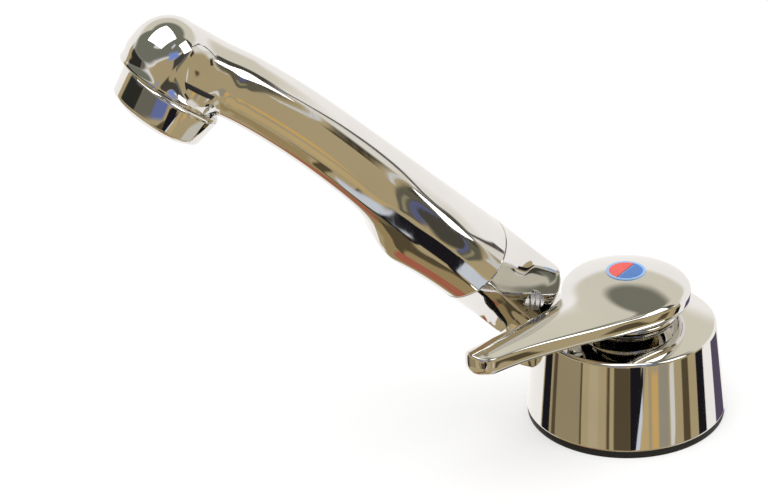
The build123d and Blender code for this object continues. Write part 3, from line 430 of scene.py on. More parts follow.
# Knuckle behind the seam: distance from the hinge, height of the top, near side, far side beside the post
FLAT_SIDE = ((4.0, 4.4), (4.0, 4.4), (3.95, 5.7), (3.8, 9.9), (3.4, 11.8))
KNUCKLE = (
    (-9.5, 9.8, ((1.2, 4.4), (1.2, 4.4), (1.15, 5.0), (1.1, 8.6), (1.0, 11.6)), FLAT_SIDE),
    (0.0, 9.8, ((5.0, 4.4), (5.0, 4.4), (4.8, 5.1), (4.4, 9.0), (3.6, 12.0)), FLAT_SIDE),
    (8.6, 9.4, ((9.4, 4.0), (9.4, 4.0), (9.0, 5.7), (6.9, 9.9), (3.6, 12.3)), FLAT_SIDE),
    (14.0, 8.9, ((12.3, 3.2), (12.3, 3.2), (11.8, 6.0), (8.7, 10.6), (3.8, 12.8)),
     ((11.4, 3.2), (11.4, 3.2), (10.9, 6.0), (8.3, 10.6), (3.8, 12.8))),
    (19.5, 8.5, SEAM_SIDE, SEAM_SIDE),
)
ARC_STEPS = 8


def eased(part):
    """Smooth step from 0 to 1."""
    part = min(1.0, max(0.0, part))
    return part * part * (3 - 2 * part)


def mixed(first, second, part):
    """Values part of the way from one tuple to another."""
    return tuple(a + (b - a) * part for a, b in zip(first, second))


def hinge_point(sizes):
    """Centre of the fold hinge."""
    return Vector((-sizes.hinge_reach, 0, sizes.hinge_height))


def centre_line(sizes, reach):
    """Point and direction of the spout's centre line."""
    hinge = hinge_point(sizes)
    if reach <= sizes.seam:
        return hinge + ALONG * reach, ALONG.copy()
    turn = (reach - sizes.seam) / sizes.bend_radius
    point = hinge + ALONG * (sizes.seam + sizes.bend_radius * sin(turn))
    point -= ABOVE * (sizes.bend_radius * (1 - cos(turn)))
    return point, ALONG * cos(turn) - ABOVE * sin(turn)


def between(places, values, reach):
    """Smooth value at a distance between the second and the third of four places along the spout."""
    before, start, end, after = places
    first, second = values[1], values[2]
    span = end - start
    leaving = (second - values[0]) / (end - before) * span
    arriving = (values[3] - first) / (after - start) * span
    part = (reach - start) / span
    rest = 1 - part
    return (first * rest * rest * (1 + 2 * part) + second * part * part * (3 - 2 * part)
            + leaving * part * rest * rest - arriving * part * part * rest)


def flat_row(row):
    """Numbers of a table's row after its distance, in one line."""
    values = [row[1]]
    for side in row[2:]:
        for point in side:
            values.extend(point)
    return values


def station(table, reach, smooth=True):
    """Top and sides of the section at a distance from the hinge, read between the rows of a table."""
    last = len(table) - 1
    index = max(0, min(last - 1, sum(1 for row in table if row[0] <= reach) - 1))
    first, second = table[index], table[index + 1]
    part = (reach - first[0]) / (second[0] - first[0])
    rows = (table[max(0, index - 1)], first, second, table[min(last, index + 2)])
    values = [flat_row(row) for row in rows]
    if smooth:
        blended = [between([row[0] for row in rows], four, reach) for four in zip(*values)]
    else:
        blended = [b + (c - b) * part for b, c in zip(values[1], values[2])]
    pairs = list(zip(blended[1::2], blended[2::2]))
    return blended[0], pairs[:5], pairs[5:]


def half_section(top, side):
    """Points (out, up) of half a section, from the middle of the top to the middle of the bottom."""
    widest, upper, keel, flank, corner = side
    points = []
    lower = 1.0
    ratio = min(1.0, upper[0] / widest[0])
    end_angle = pi - asin(ratio) if upper[1] > widest[1] + 0.2 else pi / 2
    if end_angle > pi / 2 + 0.01:
        lower = (upper[1] - widest[1]) / -cos(end_angle)
    for step in range(ARC_STEPS + 1):
        angle = end_angle * step / ARC_STEPS
        rise = (top + widest[1]) if angle <= pi / 2 else lower
        points.append((widest[0] * sin(angle), -widest[1] + rise * cos(angle)))
    points.append(((upper[0] + keel[0]) / 2, -(upper[1] + keel[1]) / 2))
    points.append((keel[0], -keel[1]))
    bulge = 0.25
    points.append(((keel[0] + flank[0]) / 2 + bulge, -(keel[1] + flank[1]) / 2 - bulge))
    points.append((flank[0], -flank[1]))
    points.append((flank[0] * 0.55 + corner[0] * 0.45 + bulge * 0.5,
                   -flank[1] * 0.55 - corner[1] * 0.45 - bulge))
    points.append((flank[0] * 0.2 + corner[0] * 0.8, -flank[1] * 0.2 - corner[1] * 0.8 - bulge * 0.4))
    points.append((corner[0], -corner[1]))
    points.append((corner[0] * 0.55, -corner[1]))
    points.append((0.0, -corner[1]))
    return points


# Points of a half section that lie on the upper and on the keel crease
UPPER_SPOT = ARC_STEPS
KEEL_SPOT = ARC_STEPS + 2

# Distances from the hinge at which the front of the spout has a section
FRONT_PLACES = (22.5, 26.0, 30.0, 34.0, 37.0, 39.5, 42.0, 44.5, 47.0, 49.5, 52.0, 55.0, 58.0, 61.0, 64.5,
                68.0, 71.5, 75.0, 78.5, 82.0, 87.0, 92.0, 96.0)
# Creases of the front: sharpness, where each has faded out, and the length over which it fades
FRONT_CREASE = 0.9
UPPER_CREASE_END = 82.0
KEEL_CREASE_END = 76.0
CREASE_FADE = 8.0

# Head: places of its sections before the nozzle's axis, where they start to turn square to the nozzle,
# where the tube's shape starts to give way to the head's, and the distances both take
HEAD_PLACES = (-12.6, -11.4, -10.2, -8.8, -7.0, -5.0, -2.8, -0.4, 2.0, 4.0)
HEAD_TURN_START, HEAD_TURN_SPAN = -14.0, 9.0
HEAD_BLEND_START, HEAD_BLEND_SPAN = -11.5, 6.5
# Shares of the way from the ball's centre down to the rim at which a head section has points
HEAD_DEPTHS = (0.16, 0.34, 0.52, 0.68, 0.8, 0.9, 1.0)
BALL_BLEND = 2.4
FLARE_START, FLARE_REST = 1.5, 0.8
RIM_STEP = 0.12
RIM_CREASE = 0.7
# Nose: depth at which it starts to draw in, the distance that takes, and its width beside the skirt's
NOSE_START, NOSE_SPAN = 3.0, 3.5
NOSE_WIDTH = 1.12


def ring_points(origin, direction, near_half, far_half=None):
    """Full ring in space: down the near side and back up the far side."""
    upward = NEAR.cross(direction).normalized()
    if upward.dot(ABOVE) < 0:
        upward.negate()
    near = [origin + NEAR * out + upward * up for out, up in near_half]
    far = [origin - NEAR * out + upward * up for out, up in (far_half or near_half)[-2:0:-1]]
    return near + far


def nozzle_down(sizes):
    """Direction out of the nozzle."""
    angle = SPOUT_RISE - radians(11.0)
    return Vector((-sin(angle), 0, -cos(angle)))


def soft_max(first, second, width):
    """The larger of two values, rounded over a width where they are close."""
    gap = max(0.0, width - abs(first - second)) / width
    return max(first, second) + gap * gap * width / 4


def outline_at(points, down):
    """Half width of an outline given as (out, down) points, at a depth."""
    for (out, start), (following, end) in zip(points, points[1:]):
        if start <= down <= end and end > start:
            return out + (following - out) * (down - start) / (end - start)
    return points[-1][0]


def head_half(sizes, forward):
    """Half section of the head, square to the nozzle, at a distance before the nozzle's axis."""
    top, side = FRONT[-1][1], FRONT[-1][2]
    tube = [(out, -up) for out, up in half_section(top, side)[:-3]]
    centre = sizes.nose_radius - sizes.dome
    drop = sizes.head_drop
    depths = [-sizes.dome + 0.01]
    for step in range(1, ARC_STEPS + 1):
        depths.append(centre - sizes.nose_radius * cos(pi / 2 * step / ARC_STEPS))
    depths += [centre + (drop - centre) * part for part in HEAD_DEPTHS]
    points = [(0.0, sizes.dome)]
    for depth in depths[1:]:
        wide = outline_at(tube, depth)
        ball = sizes.nose_radius ** 2 - (forward - sizes.nose_reach) ** 2 - min(0.0, depth - centre) ** 2
        wide = soft_max(wide, sqrt(max(0.0, ball)), BALL_BLEND)
        skirt = sqrt(max(0.0, sizes.skirt_radius ** 2 - forward ** 2))
        flare = max(0.0, min(1.0, (depth + FLARE_START) / (drop + FLARE_REST))) ** 2
        wide += max(0.0, skirt - wide) * flare
        points.append((wide, -depth))
    rim = points[-1][0]
    points[-1] = (rim - RIM_STEP, -drop)
    points.append((rim * 0.5, -drop))
    points.append((0.0, -drop))
    return points


def build_spout_front():
    """Keeled rear, step, long bend, round head and nose as one skin."""
    sizes = millimetres(bpy.context.scene.tap_spout)
    reaches = [sizes.seam, sizes.seam + 0.4, *FRONT_PLACES]
    rings = []
    for reach in reaches:
        point, direction = centre_line(sizes, reach)
        top, near, far = station(FRONT, reach)
        rings.append(ring_points(point, direction, half_section(top, near)))
    down = nozzle_down(sizes)
    forward = Vector((down.z, 0, -down.x))
    head_point = centre_line(sizes, sizes.reach)[0]
    for before in (*HEAD_PLACES, sizes.nose_reach):
        share = min(1.0, (before - HEAD_TURN_START) / HEAD_TURN_SPAN)
        point, direction = centre_line(sizes, sizes.reach + min(before, 0.0))
        point = point.lerp(head_point + forward * before, share)
        direction = direction.lerp(forward, share).normalized()
        head = head_half(sizes, before)
        turned = eased((before - HEAD_BLEND_START) / HEAD_BLEND_SPAN)
        tube = half_section(*FRONT[-1][1:])
        half = [mixed(first, second, turned) for first, second in zip(tube, head)]
        rings.append(ring_points(point, direction, half))
    bm = bmesh.new()
    placed = loft(bm, rings, close_end=False)
    count = len(placed[0])
    nose_centre = head_point + forward * sizes.nose_reach
    near_half = placed[-1][:count // 2 + 1]
    edges = [bm.edges.get(pair) for pair in zip(near_half, near_half[1:])]
    spun = bmesh.ops.duplicate(bm, geom=near_half + edges)["geom"]
    bmesh.ops.spin(bm, geom=spun, cent=nose_centre, axis=down, dvec=(0, 0, 0), angle=pi, steps=16)
    for vert in bm.verts:
        offset = vert.co - nose_centre
        ahead = offset.dot(forward)
        depth = offset.dot(down)
        if ahead <= 0.01 or depth < 0:
            continue
        across = offset - down * depth
        rim_share = eased((depth - NOSE_START) / NOSE_SPAN)
        slimmer = 1 - sizes.nose_radius / sizes.skirt_radius * NOSE_WIDTH
        wanted = 1 - slimmer * rim_share * (ahead / across.length) ** 2
        vert.co = nose_centre + down * depth + across * min(1.0, wanted)
    bmesh.ops.remove_doubles(bm, verts=bm.verts, dist=1e-4)
    for index, reach in enumerate(reaches[:-1]):
        for spot, crease_end in ((UPPER_SPOT, UPPER_CREASE_END), (KEEL_SPOT, KEEL_CREASE_END)):
            value = FRONT_CREASE * min(1.0, max(0.0, (crease_end - reach) / CREASE_FADE))
            for place in (spot, count - spot):
                first, second = placed[index][place], placed[index + 1][place]
                if value > 0 and first.is_valid and second.is_valid:
                    crease(bm, first, second, value)
    for first, second in zip(placed[0], placed[0][1:] + placed[0][:1]):
        crease(bm, first, second, 1.0)
    for edge in bm.edges:
        at_rim = []
        for vert in edge.verts:
            offset = vert.co - head_point
            depth = offset.dot(down)
            at_rim.append(abs(depth - sizes.head_drop) < 0.05 and (offset - down * depth).length > 8.5)
        if all(at_rim):
            crease(bm, edge.verts[0], edge.verts[1], RIM_CREASE)
    bmesh.ops.recalc_face_normals(bm, faces=bm.faces)
    finish_piece(bm, "spout_front_skin", finish("chrome"), "spout", ("spout_shell",),
                 subdivisions=2)


# Rear outline of the knuckle from the side: distance from the hinge and height of the top edge
REAR_TOP = ((-8.5, 0.6), (-8.3, 2.2), (-7.7, 4.2), (-6.9, 6.1), (-5.6, 7.9), (-4.2, 9.0), (-2.6, 9.65),
            (-1.0, 9.8))
# Distances from the hinge of the sections before the rounded rear
KNUCKLE_PLACES = (-0.82, -0.79, 0.5, 2.5, 5.0, 7.5, 8.8, 10.2, 12.0, 14.0, 16.0, 18.0)
KNUCKLE_CREASE = 0.85
# Rounding of the knuckle towards the post: radius and place along the spout
POST_CORNER_RADIUS, POST_CORNER_REACH = 4.2, 4.7


def build_knuckle():
    """Knuckle from the roll seam back to the hinge pin, narrow beside the post and rounded behind."""
    sizes = millimetres(bpy.context.scene.tap_spout)
    radius = sizes.tongue_radius
    end = sizes.seam - sizes.seam_gap
    hinge = hinge_point(sizes)
    reaches = [row[0] for row in REAR_TOP] + [*KNUCKLE_PLACES, end - 0.4, end]
    corner = Vector((POST_CORNER_REACH - sizes.hinge_reach,
                     POST_CORNER_RADIUS - sizes.tongue_half + 0.2, 0))
    rings = []
    for reach in reaches:
        top, near, far = station(KNUCKLE, reach, smooth=False)
        if reach <= REAR_TOP[-1][0]:
            top = next(height for place, height in REAR_TOP if place == reach)
        halves = [half_section(max(top, 4.6 - near[0][1]), side) for side in (near, far)]
        low = -sqrt(max(0.3, radius ** 2 - reach ** 2)) if reach < -0.8 else -99.0
        centre = (near[0][0] - far[0][0]) / 2
        shaped = []
        for half, side, shift in ((halves[0], near, centre), (halves[1], far, -centre)):
            half_width = (near[0][0] + far[0][0]) / 2
            stretch = []
            for spot, (out, up) in enumerate(half):
                if spot <= ARC_STEPS:
                    out = shift + half_width * out / side[0][0]
                elif spot == len(half) - 1:
                    out = shift
                stretch.append((out, min(top, max(up, low))))
            shaped.append(stretch)
        rings.append(ring_points(hinge + ALONG * reach, ALONG, *shaped))
    for ring in rings:
        for point in ring:
            flat = Vector((point.x, point.y, 0)) - corner
            if flat.x > 0 and flat.y < 0 and flat.length > POST_CORNER_RADIUS:
                flat = flat.normalized() * POST_CORNER_RADIUS
                point.x, point.y = corner.x + flat.x, corner.y + flat.y
    bm = bmesh.new()
    placed = loft(bm, rings)
    count = len(placed[0])
    for index in range(len(placed) - 1):
        for spot in (UPPER_SPOT, KEEL_SPOT, count - UPPER_SPOT, count - KEEL_SPOT):
            crease(bm, placed[index][spot], placed[index + 1][spot], KNUCKLE_CREASE)
    for row in (0, len(REAR_TOP), len(REAR_TOP) + 1, len(placed) - 1):
        for first, second in zip(placed[row], placed[row][1:] + placed[row][:1]):
            crease(bm, first, second, 1.0 if row else 0.6)
    bmesh.ops.recalc_face_normals(bm, faces=bm.faces)
    finish_piece(bm, "knuckle_skin", finish("chrome"), "knuckle", ("spout_knuckle",),
                 subdivisions=2)


# Body, lever and fittings

def build_body():
    """Chrome cup, black seal, collar, hinge post and hinge cap."""
    sizes = millimetres(bpy.context.scene.tap_body)
    bm = bmesh.new()
    outline = rounded([
        (sizes.radius - 3.4, sizes.bottom, 0), (sizes.radius, sizes.bottom, 0.5),
        (sizes.radius, sizes.top, sizes.rim), (sizes.neck_hole, sizes.top, 0.3),
        (sizes.neck_hole, sizes.top - 2.4, 0), (sizes.radius - 3.0, sizes.top - 2.4, 0),
        (sizes.radius - 3.0, 8.0, 0), (16.05, 8.0, 0), (16.05, 5.35, 0), (sizes.radius - 3.4, 5.35, 0),
    ], steps=8)
    spin_outline(bm, outline, steps=160)
    finish_piece(bm, "body_cup", finish("chrome"), "body", ("body_shell",))

    bm = bmesh.new()
    outline = rounded([
        (sizes.seal_hole, 0, 0), (sizes.seal_radius, 0, 0.3), (sizes.seal_radius, sizes.seal_thickness, 0.4),
        (sizes.seal_hole, sizes.seal_thickness, 0),
    ], steps=4)
    spin_outline(bm, outline, steps=128)
    finish_piece(bm, "seal_ring", finish("rubber"), "mount", ("deck_seal",))

    bm = bmesh.new()
    inner = sizes.neck_radius - 2.4
    low = sizes.top + 0.6
    outline = rounded([
        (inner, low, 0), (sizes.neck_radius + 0.4, low, 0), (sizes.neck_radius + 0.4, low + 0.6, 0.15),
        (sizes.neck_radius, low + 0.6, 0), (sizes.neck_radius, sizes.neck_top, 0.4),
        (inner, sizes.neck_top, 0),
    ], steps=4)
    spin_outline(bm, outline, steps=96)
    finish_piece(bm, "collar_ring", finish("chrome"), "body", ("neck_collar",))
    build_post()


def build_post():
    """Post of the fold hinge at the far side of the tongue, and the cap on its pin."""
    spout = millimetres(bpy.context.scene.tap_spout)
    hinge = hinge_point(spout)
    near, width, radius = 4.25, 7.0, 7.0
    outline = [(-6.0, -17.6), (-6.0, -11.6), (-radius, -2.0), (-radius, 0)]
    for step in range(1, 16):
        angle = pi - pi * step / 16
        outline.append((radius * cos(angle), radius * sin(angle)))
    outline += [(radius, 0), (6.2, -4.0), (4.6, -10.0), (3.6, -15.5), (2.6, -21.0), (0.4, -23.6),
                (-2.6, -25.0), (-6.0, -25.0)]
    rings = []
    for out, inset in ((near, 0.5), (near + 0.15, 0.15), (near + 0.5, 0), (near + width - 0.5, 0),
                       (near + width - 0.15, 0.15), (near + width, 0.5)):
        ring = []
        for a, z in outline:
            scale = 1 - inset / max(1.0, sqrt(a * a + z * z))
            ring.append(hinge + Vector((-a * scale, out, z * scale)))
        rings.append(ring)
    bm = bmesh.new()
    loft(bm, rings)
    bmesh.ops.recalc_face_normals(bm, faces=bm.faces)
    finish_piece(bm, "hinge_post", finish("chrome"), "body", (), sharp=40)

    bm = bmesh.new()
    outline = [Vector((0, 0, 1.8)), Vector((2.5, 0, 1.7)), Vector((4.2, 0, 1.4)), Vector((5.1, 0, 0.9)),
               Vector((5.5, 0, 0.4)), Vector((5.6, 0, 0)), Vector((0, 0, 0))]
    spin_outline(bm, outline, steps=64)
    bmesh.ops.rotate(bm, cent=(0, 0, 0), matrix=Matrix.Rotation(-pi / 2, 3, "X"), verts=bm.verts)
    bmesh.ops.translate(bm, vec=hinge + Vector((0, near + width, 0)), verts=bm.verts)
    finish_piece(bm, "hinge_end_cap", finish("chrome"), "body", ("hinge_cap",))


LEVER_AZIMUTH = radians(27.0)
HANDLE = Vector((-cos(LEVER_AZIMUTH), -sin(LEVER_AZIMUTH), 0))
HANDLE_NEAR = Vector((sin(LEVER_AZIMUTH), -cos(LEVER_AZIMUTH), 0))

# Half widths of the handle by distance from the swivel axis, on the near and on the far side
NEAR_EDGE = ((0, 16.5), (4, 16.0), (8, 14.9), (12, 14.0), (17, 13.0), (22, 11.9), (27, 10.6), (33, 9.0),
             (39, 7.5), (44, 6.5), (48, 5.9), (52.2, 5.5))
FAR_EDGE = ((0, 16.5), (4, 16.0), (8, 14.4), (12, 11.5), (17, 6.5), (22, 5.2), (27, 4.5), (33, 4.1),
            (39, 3.85), (44, 3.75), (48, 3.8), (52.2, 3.9))


def lever_top(s, m, half_width, sizes):
    """Height of the lever's top: the dome of the cap run smoothly into the handle."""
    reach = min(sqrt(s * s + m * m), sizes.cap_dome * 0.98)
    dome = sizes.cap_top - (sizes.cap_dome - sqrt(sizes.cap_dome ** 2 - reach ** 2))
    slope = (sizes.tip_height - sizes.root_height) / (sizes.tip_reach + sizes.tip_radius)
    crown = 1.1 * (m / half_width) ** 2
    handle = sizes.root_height + slope * s - crown - 7.0 * eased((13.0 - s) / 13.0)
    blend = 1.6
    gap = max(0.0, blend - abs(dome - handle)) / blend
    return max(dome, handle) + gap * gap * blend / 4


def build_lever():
    """Domed cap and tapering handle as one skin, with its recess and the indicator's seat cut in."""
    sizes = millimetres(bpy.context.scene.tap_lever)
    tip_offset = 0.8
    feet, rims = [], []
    back_steps, tip_steps = 20, 12
    for step in range(back_steps + 1):
        angle = pi / 2 + pi * step / back_steps
        feet.append((0.0, 0.0))
        rims.append((sizes.cap_radius * cos(angle), sizes.cap_radius * sin(angle)))
    for s, width in FAR_EDGE[1:-1]:
        feet.append((s, 0.0))
        rims.append((s, -width))
    for step in range(tip_steps + 1):
        angle = -pi / 2 + pi * step / tip_steps
        feet.append((sizes.tip_reach, tip_offset))
        rims.append((sizes.tip_reach + sizes.tip_radius * cos(angle),
                     tip_offset + sizes.tip_radius * sin(angle)))
    for s, width in NEAR_EDGE[-2:0:-1]:
        feet.append((s, 0.0))
        rims.append((s, width))
    slope = (sizes.tip_height - sizes.root_height) / (sizes.tip_reach + sizes.tip_radius)

    def spine(foot):
        """Middle of the handle under the crown of its top."""
        s, m = foot
        if s <= 0 or s >= sizes.tip_reach:
            return s, m
        return s, tip_offset * s / sizes.tip_reach

    def on_top(share):
        """Ring on the top surface, share of the way from the edge to the spine."""
        ring = []
        for foot, rim in zip(feet, rims):
            base = spine(foot)
            s = rim[0] + (base[0] - rim[0]) * share
            m = rim[1] + (base[1] - rim[1]) * share
            half_width = max(4.0, abs(rim[1]))
            ring.append((s, m, lever_top(s, m - base[1], half_width, sizes)))
        return ring

    def around(inset, rise_share, drop):
        """Ring on the side: inset from the edge, between the top edge and the underside."""
        ring = []
        for foot, rim in zip(feet, rims):
            base = spine(foot)
            reach = sqrt((rim[0] - base[0]) ** 2 + (rim[1] - base[1]) ** 2)
            share = inset / max(1.0, reach)
            s = rim[0] + (base[0] - rim[0]) * share
            m = rim[1] + (base[1] - rim[1]) * share
            edge = lever_top(rim[0], rim[1] - base[1], max(4.0, abs(rim[1])), sizes)
            part = eased((s - 10.0) / 18.0)
            thicker = sizes.tip_thickness - sizes.root_thickness
            thickness = sizes.root_thickness + thicker * s / sizes.tip_reach
            handle_low = sizes.root_height + slope * s - thickness
            low = sizes.cap_rim_bottom + (handle_low - sizes.cap_rim_bottom) * part
            ring.append((s, m, low + (edge - low) * rise_share + drop))
        return ring

    rings = [on_top(share) for share in (1.0, 0.8, 0.6, 0.42, 0.26, 0.14, 0.06)]
    rings += [around(0.12, 1.0, -0.45), around(0.0, 0.72, 0), around(0.0, 0.42, 0), around(0.25, 0.2, 0),
              around(0.9, 0.05, 0), around(2.2, 0.0, 0), around(6.0, 0.0, 0)]
    bm = bmesh.new()
    space = [[HANDLE * s + HANDLE_NEAR * m + UP * z for s, m, z in ring] for ring in rings]
    loft(bm, space, close_start=False, close_end=True)
    bmesh.ops.remove_doubles(bm, verts=bm.verts, dist=1e-3)
    bmesh.ops.triangulate(bm, faces=[f for f in bm.faces if len(f.verts) > 4])
    bmesh.ops.recalc_face_normals(bm, faces=bm.faces)
    piece = finish_piece(bm, "lever_skin", finish("chrome"), "lever", ("lever",), subdivisions=2)
    cut_with(piece, ((sizes.hollow_radius, 28.0, sizes.hollow_top),
                     (sizes.indicator_radius + 0.03, sizes.cap_top - 0.85, sizes.cap_top + 3.0)))


def build_aerator():
    """Chrome ring of the aerator, with the groove above it and its rounded lip."""
    sizes = millimetres(bpy.context.scene.tap_spout)
    head_point = centre_line(sizes, sizes.reach)[0]
    down = nozzle_down(sizes)
    outer = sizes.ring_radius
    drop, end = sizes.head_drop, sizes.head_drop + sizes.ring_height
    outline = rounded([
        (8.8, drop - 4.0, 0), (10.2, drop - 4.0, 0), (10.2, drop, 0), (outer - 1.0, drop, 0),
        (outer - 1.0, drop + 0.7, 0), (outer, drop + 0.7, 0.35), (outer, end, 1.3), (9.4, end, 0.5),
        (8.0, end - 0.5, 0), (8.0, end - 1.0, 0), (8.8, end - 1.0, 0),
    ], steps=6)
    bm = bmesh.new()
    spin_outline(bm, outline, steps=128)
    bmesh.ops.rotate(bm, cent=(0, 0, 0), matrix=UP.rotation_difference(down).to_matrix(), verts=bm.verts)
    bmesh.ops.translate(bm, vec=head_point, verts=bm.verts)
    finish_piece(bm, "aerator_ring", finish("chrome"), "spout", ("aerator_housing",))


NODE_FINISHES = {
    "mounting_shank": "brass", "swivel_slip_ring": "white", "swivel_retaining_ring": "steel",
    "worktop_rubber_washer": "rubber", "clamp_washer": "steel", "fixing_nut": "brass", "valve_core": "brass",
    "swivel_o_ring": "rubber", "cartridge_case": "grey", "cartridge_base_seals": "rubber",
    "fixed_ceramic_disc": "ceramic", "cartridge_clamp_nut": "brass", "cold_inlet_tail": "copper",
    "hot_inlet_tail": "copper", "inlet_o_rings": "rubber", "hinge_pin": "steel", "mix_carrier": "grey",
    "stem_pin": "steel", "lever_stem": "steel", "lever_grub_screw": "steel", "indicator_plate": "rim_blue",
    "indicator_red": "hot", "indicator_blue": "cold", "moving_ceramic_disc": "ceramic",
    "hinge_o_rings": "rubber", "roll_spigot": "brass", "roll_o_rings": "rubber",
    "roll_retaining_ring": "steel", "seam_washer": "white", "spout_water_tube": "white",
    "aerator_insert": "white", "aerator_screen": "steel", "aerator_gasket": "rubber",
}


# Stage

def stage_object(bm, name, material, glossy_only=False):
    """An object of the studio."""
    mesh = bpy.data.meshes.new(name)
    bm.to_mesh(mesh)
    bm.free()
    item = bpy.data.objects.new(name, mesh)
    bpy.context.scene.collection.objects.link(item)
    mesh.materials.append(material)
    if glossy_only:
        item.visible_camera = False
        item.visible_diffuse = False
        item.visible_shadow = False
        item.visible_transmission = False
    return item


# Colours that the chrome mirrors
PALE = (1.02, 0.99, 0.97)
WARM = (0.74, 0.70, 0.59)
TAN = (0.46, 0.37, 0.21)
GOLD = (0.56, 0.42, 0.20)
BROWN = (0.10, 0.075, 0.04)
BLACK = (0.012, 0.011, 0.014)

# Soft cards of the surround, the later ones in front: bearing and elevation of the centre, half width and
# half height, rise per degree of bearing, softness of the edges, colour. All are in degrees. Bearing 0 faces
# the camera and is positive to the right.
CARDS = (
    (0, 62, 400, 24, 0, 14, (0.20, 0.20, 0.155)),
    (180, 38, 90, 13, 0, 9, WARM), (-180, 38, 64, 13, 0, 9, WARM),
    (-12, -30, 110, 52, 0, 2, TAN),
    (-20, 50, 106, 25, 0, 8, (0.19, 0.195, 0.155)),
    (-85, 17, 24, 9, 0, 6, (0.03, 0.03, 0.025)), (-42, 12, 20, 10, -0.3, 6, (0.16, 0.15, 0.12)),
    (-16, 0, 11, 8, -0.5, 5, (0.14, 0.18, 0.40)), (20, 24, 14, 8, 0, 8, (0.22, 0.32, 0.72)),
    (-38, 47, 12, 3.0, 0, 2.5, (0.8, 0.79, 0.84)), (26, 48, 9, 2.6, 0.4, 2.5, (0.75, 0.72, 0.84)),
    (-60, -63, 95, 9, 0, 4, (0.36, 0.27, 0.13)), (-105, -67, 45, 4, 0, 3, (0.42, 0.13, 0.08)),
    (-30, -54, 34, 3.0, 0.25, 2, BROWN), (80, -54, 26, 7, 0, 5, (0.62, 0.60, 0.52)),
    (-113, -25, 7, 12, 0, 1.2, BLACK), (-82, -25, 22, 9, 0, 3, (0.33, 0.27, 0.16)),
    (-99, -25, 3, 9, 0, 1.5, BROWN), (-60, -25, 1.2, 9, 0, 0.8, BROWN),
    (-44, -25, 6, 9, 0, 3, (0.50, 0.42, 0.26)), (-14, -25, 14, 9, 0, 3, BROWN),
    (-22, -25, 2.5, 9, 0, 2, TAN), (6, -20, 6.5, 13, 0, 1, BLACK),
    (18, -24, 5, 7, 0, 1.5, (0.36, 0.32, 0.25)),
    (29, -25, 3.5, 6, 0, 1, (0.66, 0.42, 0.15)), (40, -25, 6, 8, 0, 2, (0.34, 0.31, 0.24)),
    (51, -24, 3, 9, 1.6, 1.5, (0.75, 0.74, 0.70)), (70, -25, 5, 9, 0, 2, BROWN),
    (95, -25, 7, 10, 0, 1.2, BLACK), (137, -28, 14, 5, 0, 1.5, (0.10, 0.08, 0.13)),
    (55, 20.0, 36, 8.0, 0.42, 3.0, (0.07, 0.065, 0.05)), (46, 7.5, 20, 2.6, 0.62, 1.2, (0.13, 0.12, 0.085)),
    (40, 4.0, 12, 0.7, 0.68, 0.5, (0.30, 0.27, 0.17)), (44, 9.5, 16, 0.9, 0.66, 0.6, (0.12, 0.13, 0.24)),
    (70, 15.8, 14, 0.6, 0.42, 0.4, (0.66, 0.66, 0.64)), (74, 13.0, 9, 2.8, 0.42, 1.2, (0.05, 0.04, 0.025)),
    (90, 17, 9, 6, 0, 8, (0.84, 0.81, 0.75)), (97, 21.5, 14, 0.8, -0.22, 0.6, (0.10, 0.09, 0.08)),
    (16, -32, 5.5, 10, 1.6, 2.0, GOLD), (9, -29, 5, 4.0, 1.5, 1.5, (0.66, 0.70, 0.78)),
    (2, -33, 13, 2.0, 1.15, 0.8, BLACK),
)


def surround_material(name, cards, view_turn):
    """Glowing studio surround: soft cards laid over a pale ground by bearing and elevation."""
    material = bpy.data.materials.new(name)
    material.use_nodes = True
    tree = material.node_tree
    tree.nodes.clear()

    place = add_node(tree, "TexCoord").outputs["Object"]
    mapping = add_node(tree, "Mapping", {"Vector": place, "Rotation": (0, 0, view_turn)})
    unit = add_node(tree, "VectorMath", {0: mapping.outputs["Vector"]}, operation="NORMALIZE")
    parts = add_node(tree, "SeparateXYZ", {"Vector": unit.outputs["Vector"]}).outputs
    toward = maths(tree, "MULTIPLY", parts["Y"], -1.0)
    bearing = maths(tree, "MULTIPLY", maths(tree, "ARCTAN2", parts["X"], toward), degrees(1))
    elevation = maths(tree, "MULTIPLY", maths(tree, "ARCSINE", parts["Z"]), degrees(1))
    shown = add_node(tree, "RGB").outputs[0]
    shown.default_value = (*PALE, 1)
    for across, up, half_width, half_height, rise, softness, shade in cards:
        offset = maths(tree, "SUBTRACT", bearing, across)
        level = maths(tree, "SUBTRACT", elevation, up)
        if rise:
            level = maths(tree, "SUBTRACT", level, maths(tree, "MULTIPLY", offset, rise))
        shares = []
        for distance, half in ((offset, half_width), (level, half_height)):
            soft = add_node(tree, "MapRange", {"Value": maths(tree, "ABSOLUTE", distance),
                                               "From Min": half + softness / 2,
                                               "From Max": half - softness / 2},
                            interpolation_type="SMOOTHSTEP")
            shares.append(soft.outputs["Result"])
        share = maths(tree, "MULTIPLY", *shares)
        shown = add_node(tree, "Mix", {0: share, 6: shown, 7: (*shade, 1)}, data_type="RGBA").outputs[2]
    glow = add_node(tree, "Emission", {"Color": shown})
    add_node(tree, "OutputMaterial", {"Surface": glow.outputs["Emission"]})
    return material


WHITE = (1, 1, 1, 1)
# Share of plain white that the camera sees in the floor, and strength of the light from all round
FLOOR_GLOW = 0.6
ROOM_LIGHT = 0.65
# Radius of the surround, half side of the floor, and the gap under the tap that keeps them apart
SURROUND_RADIUS = 6.0
FLOOR_HALF = 3.0
FLOOR_GAP = 0.0002
# Point that the lamps are aimed at
LAMP_AIM = (0, 0, 0.03)


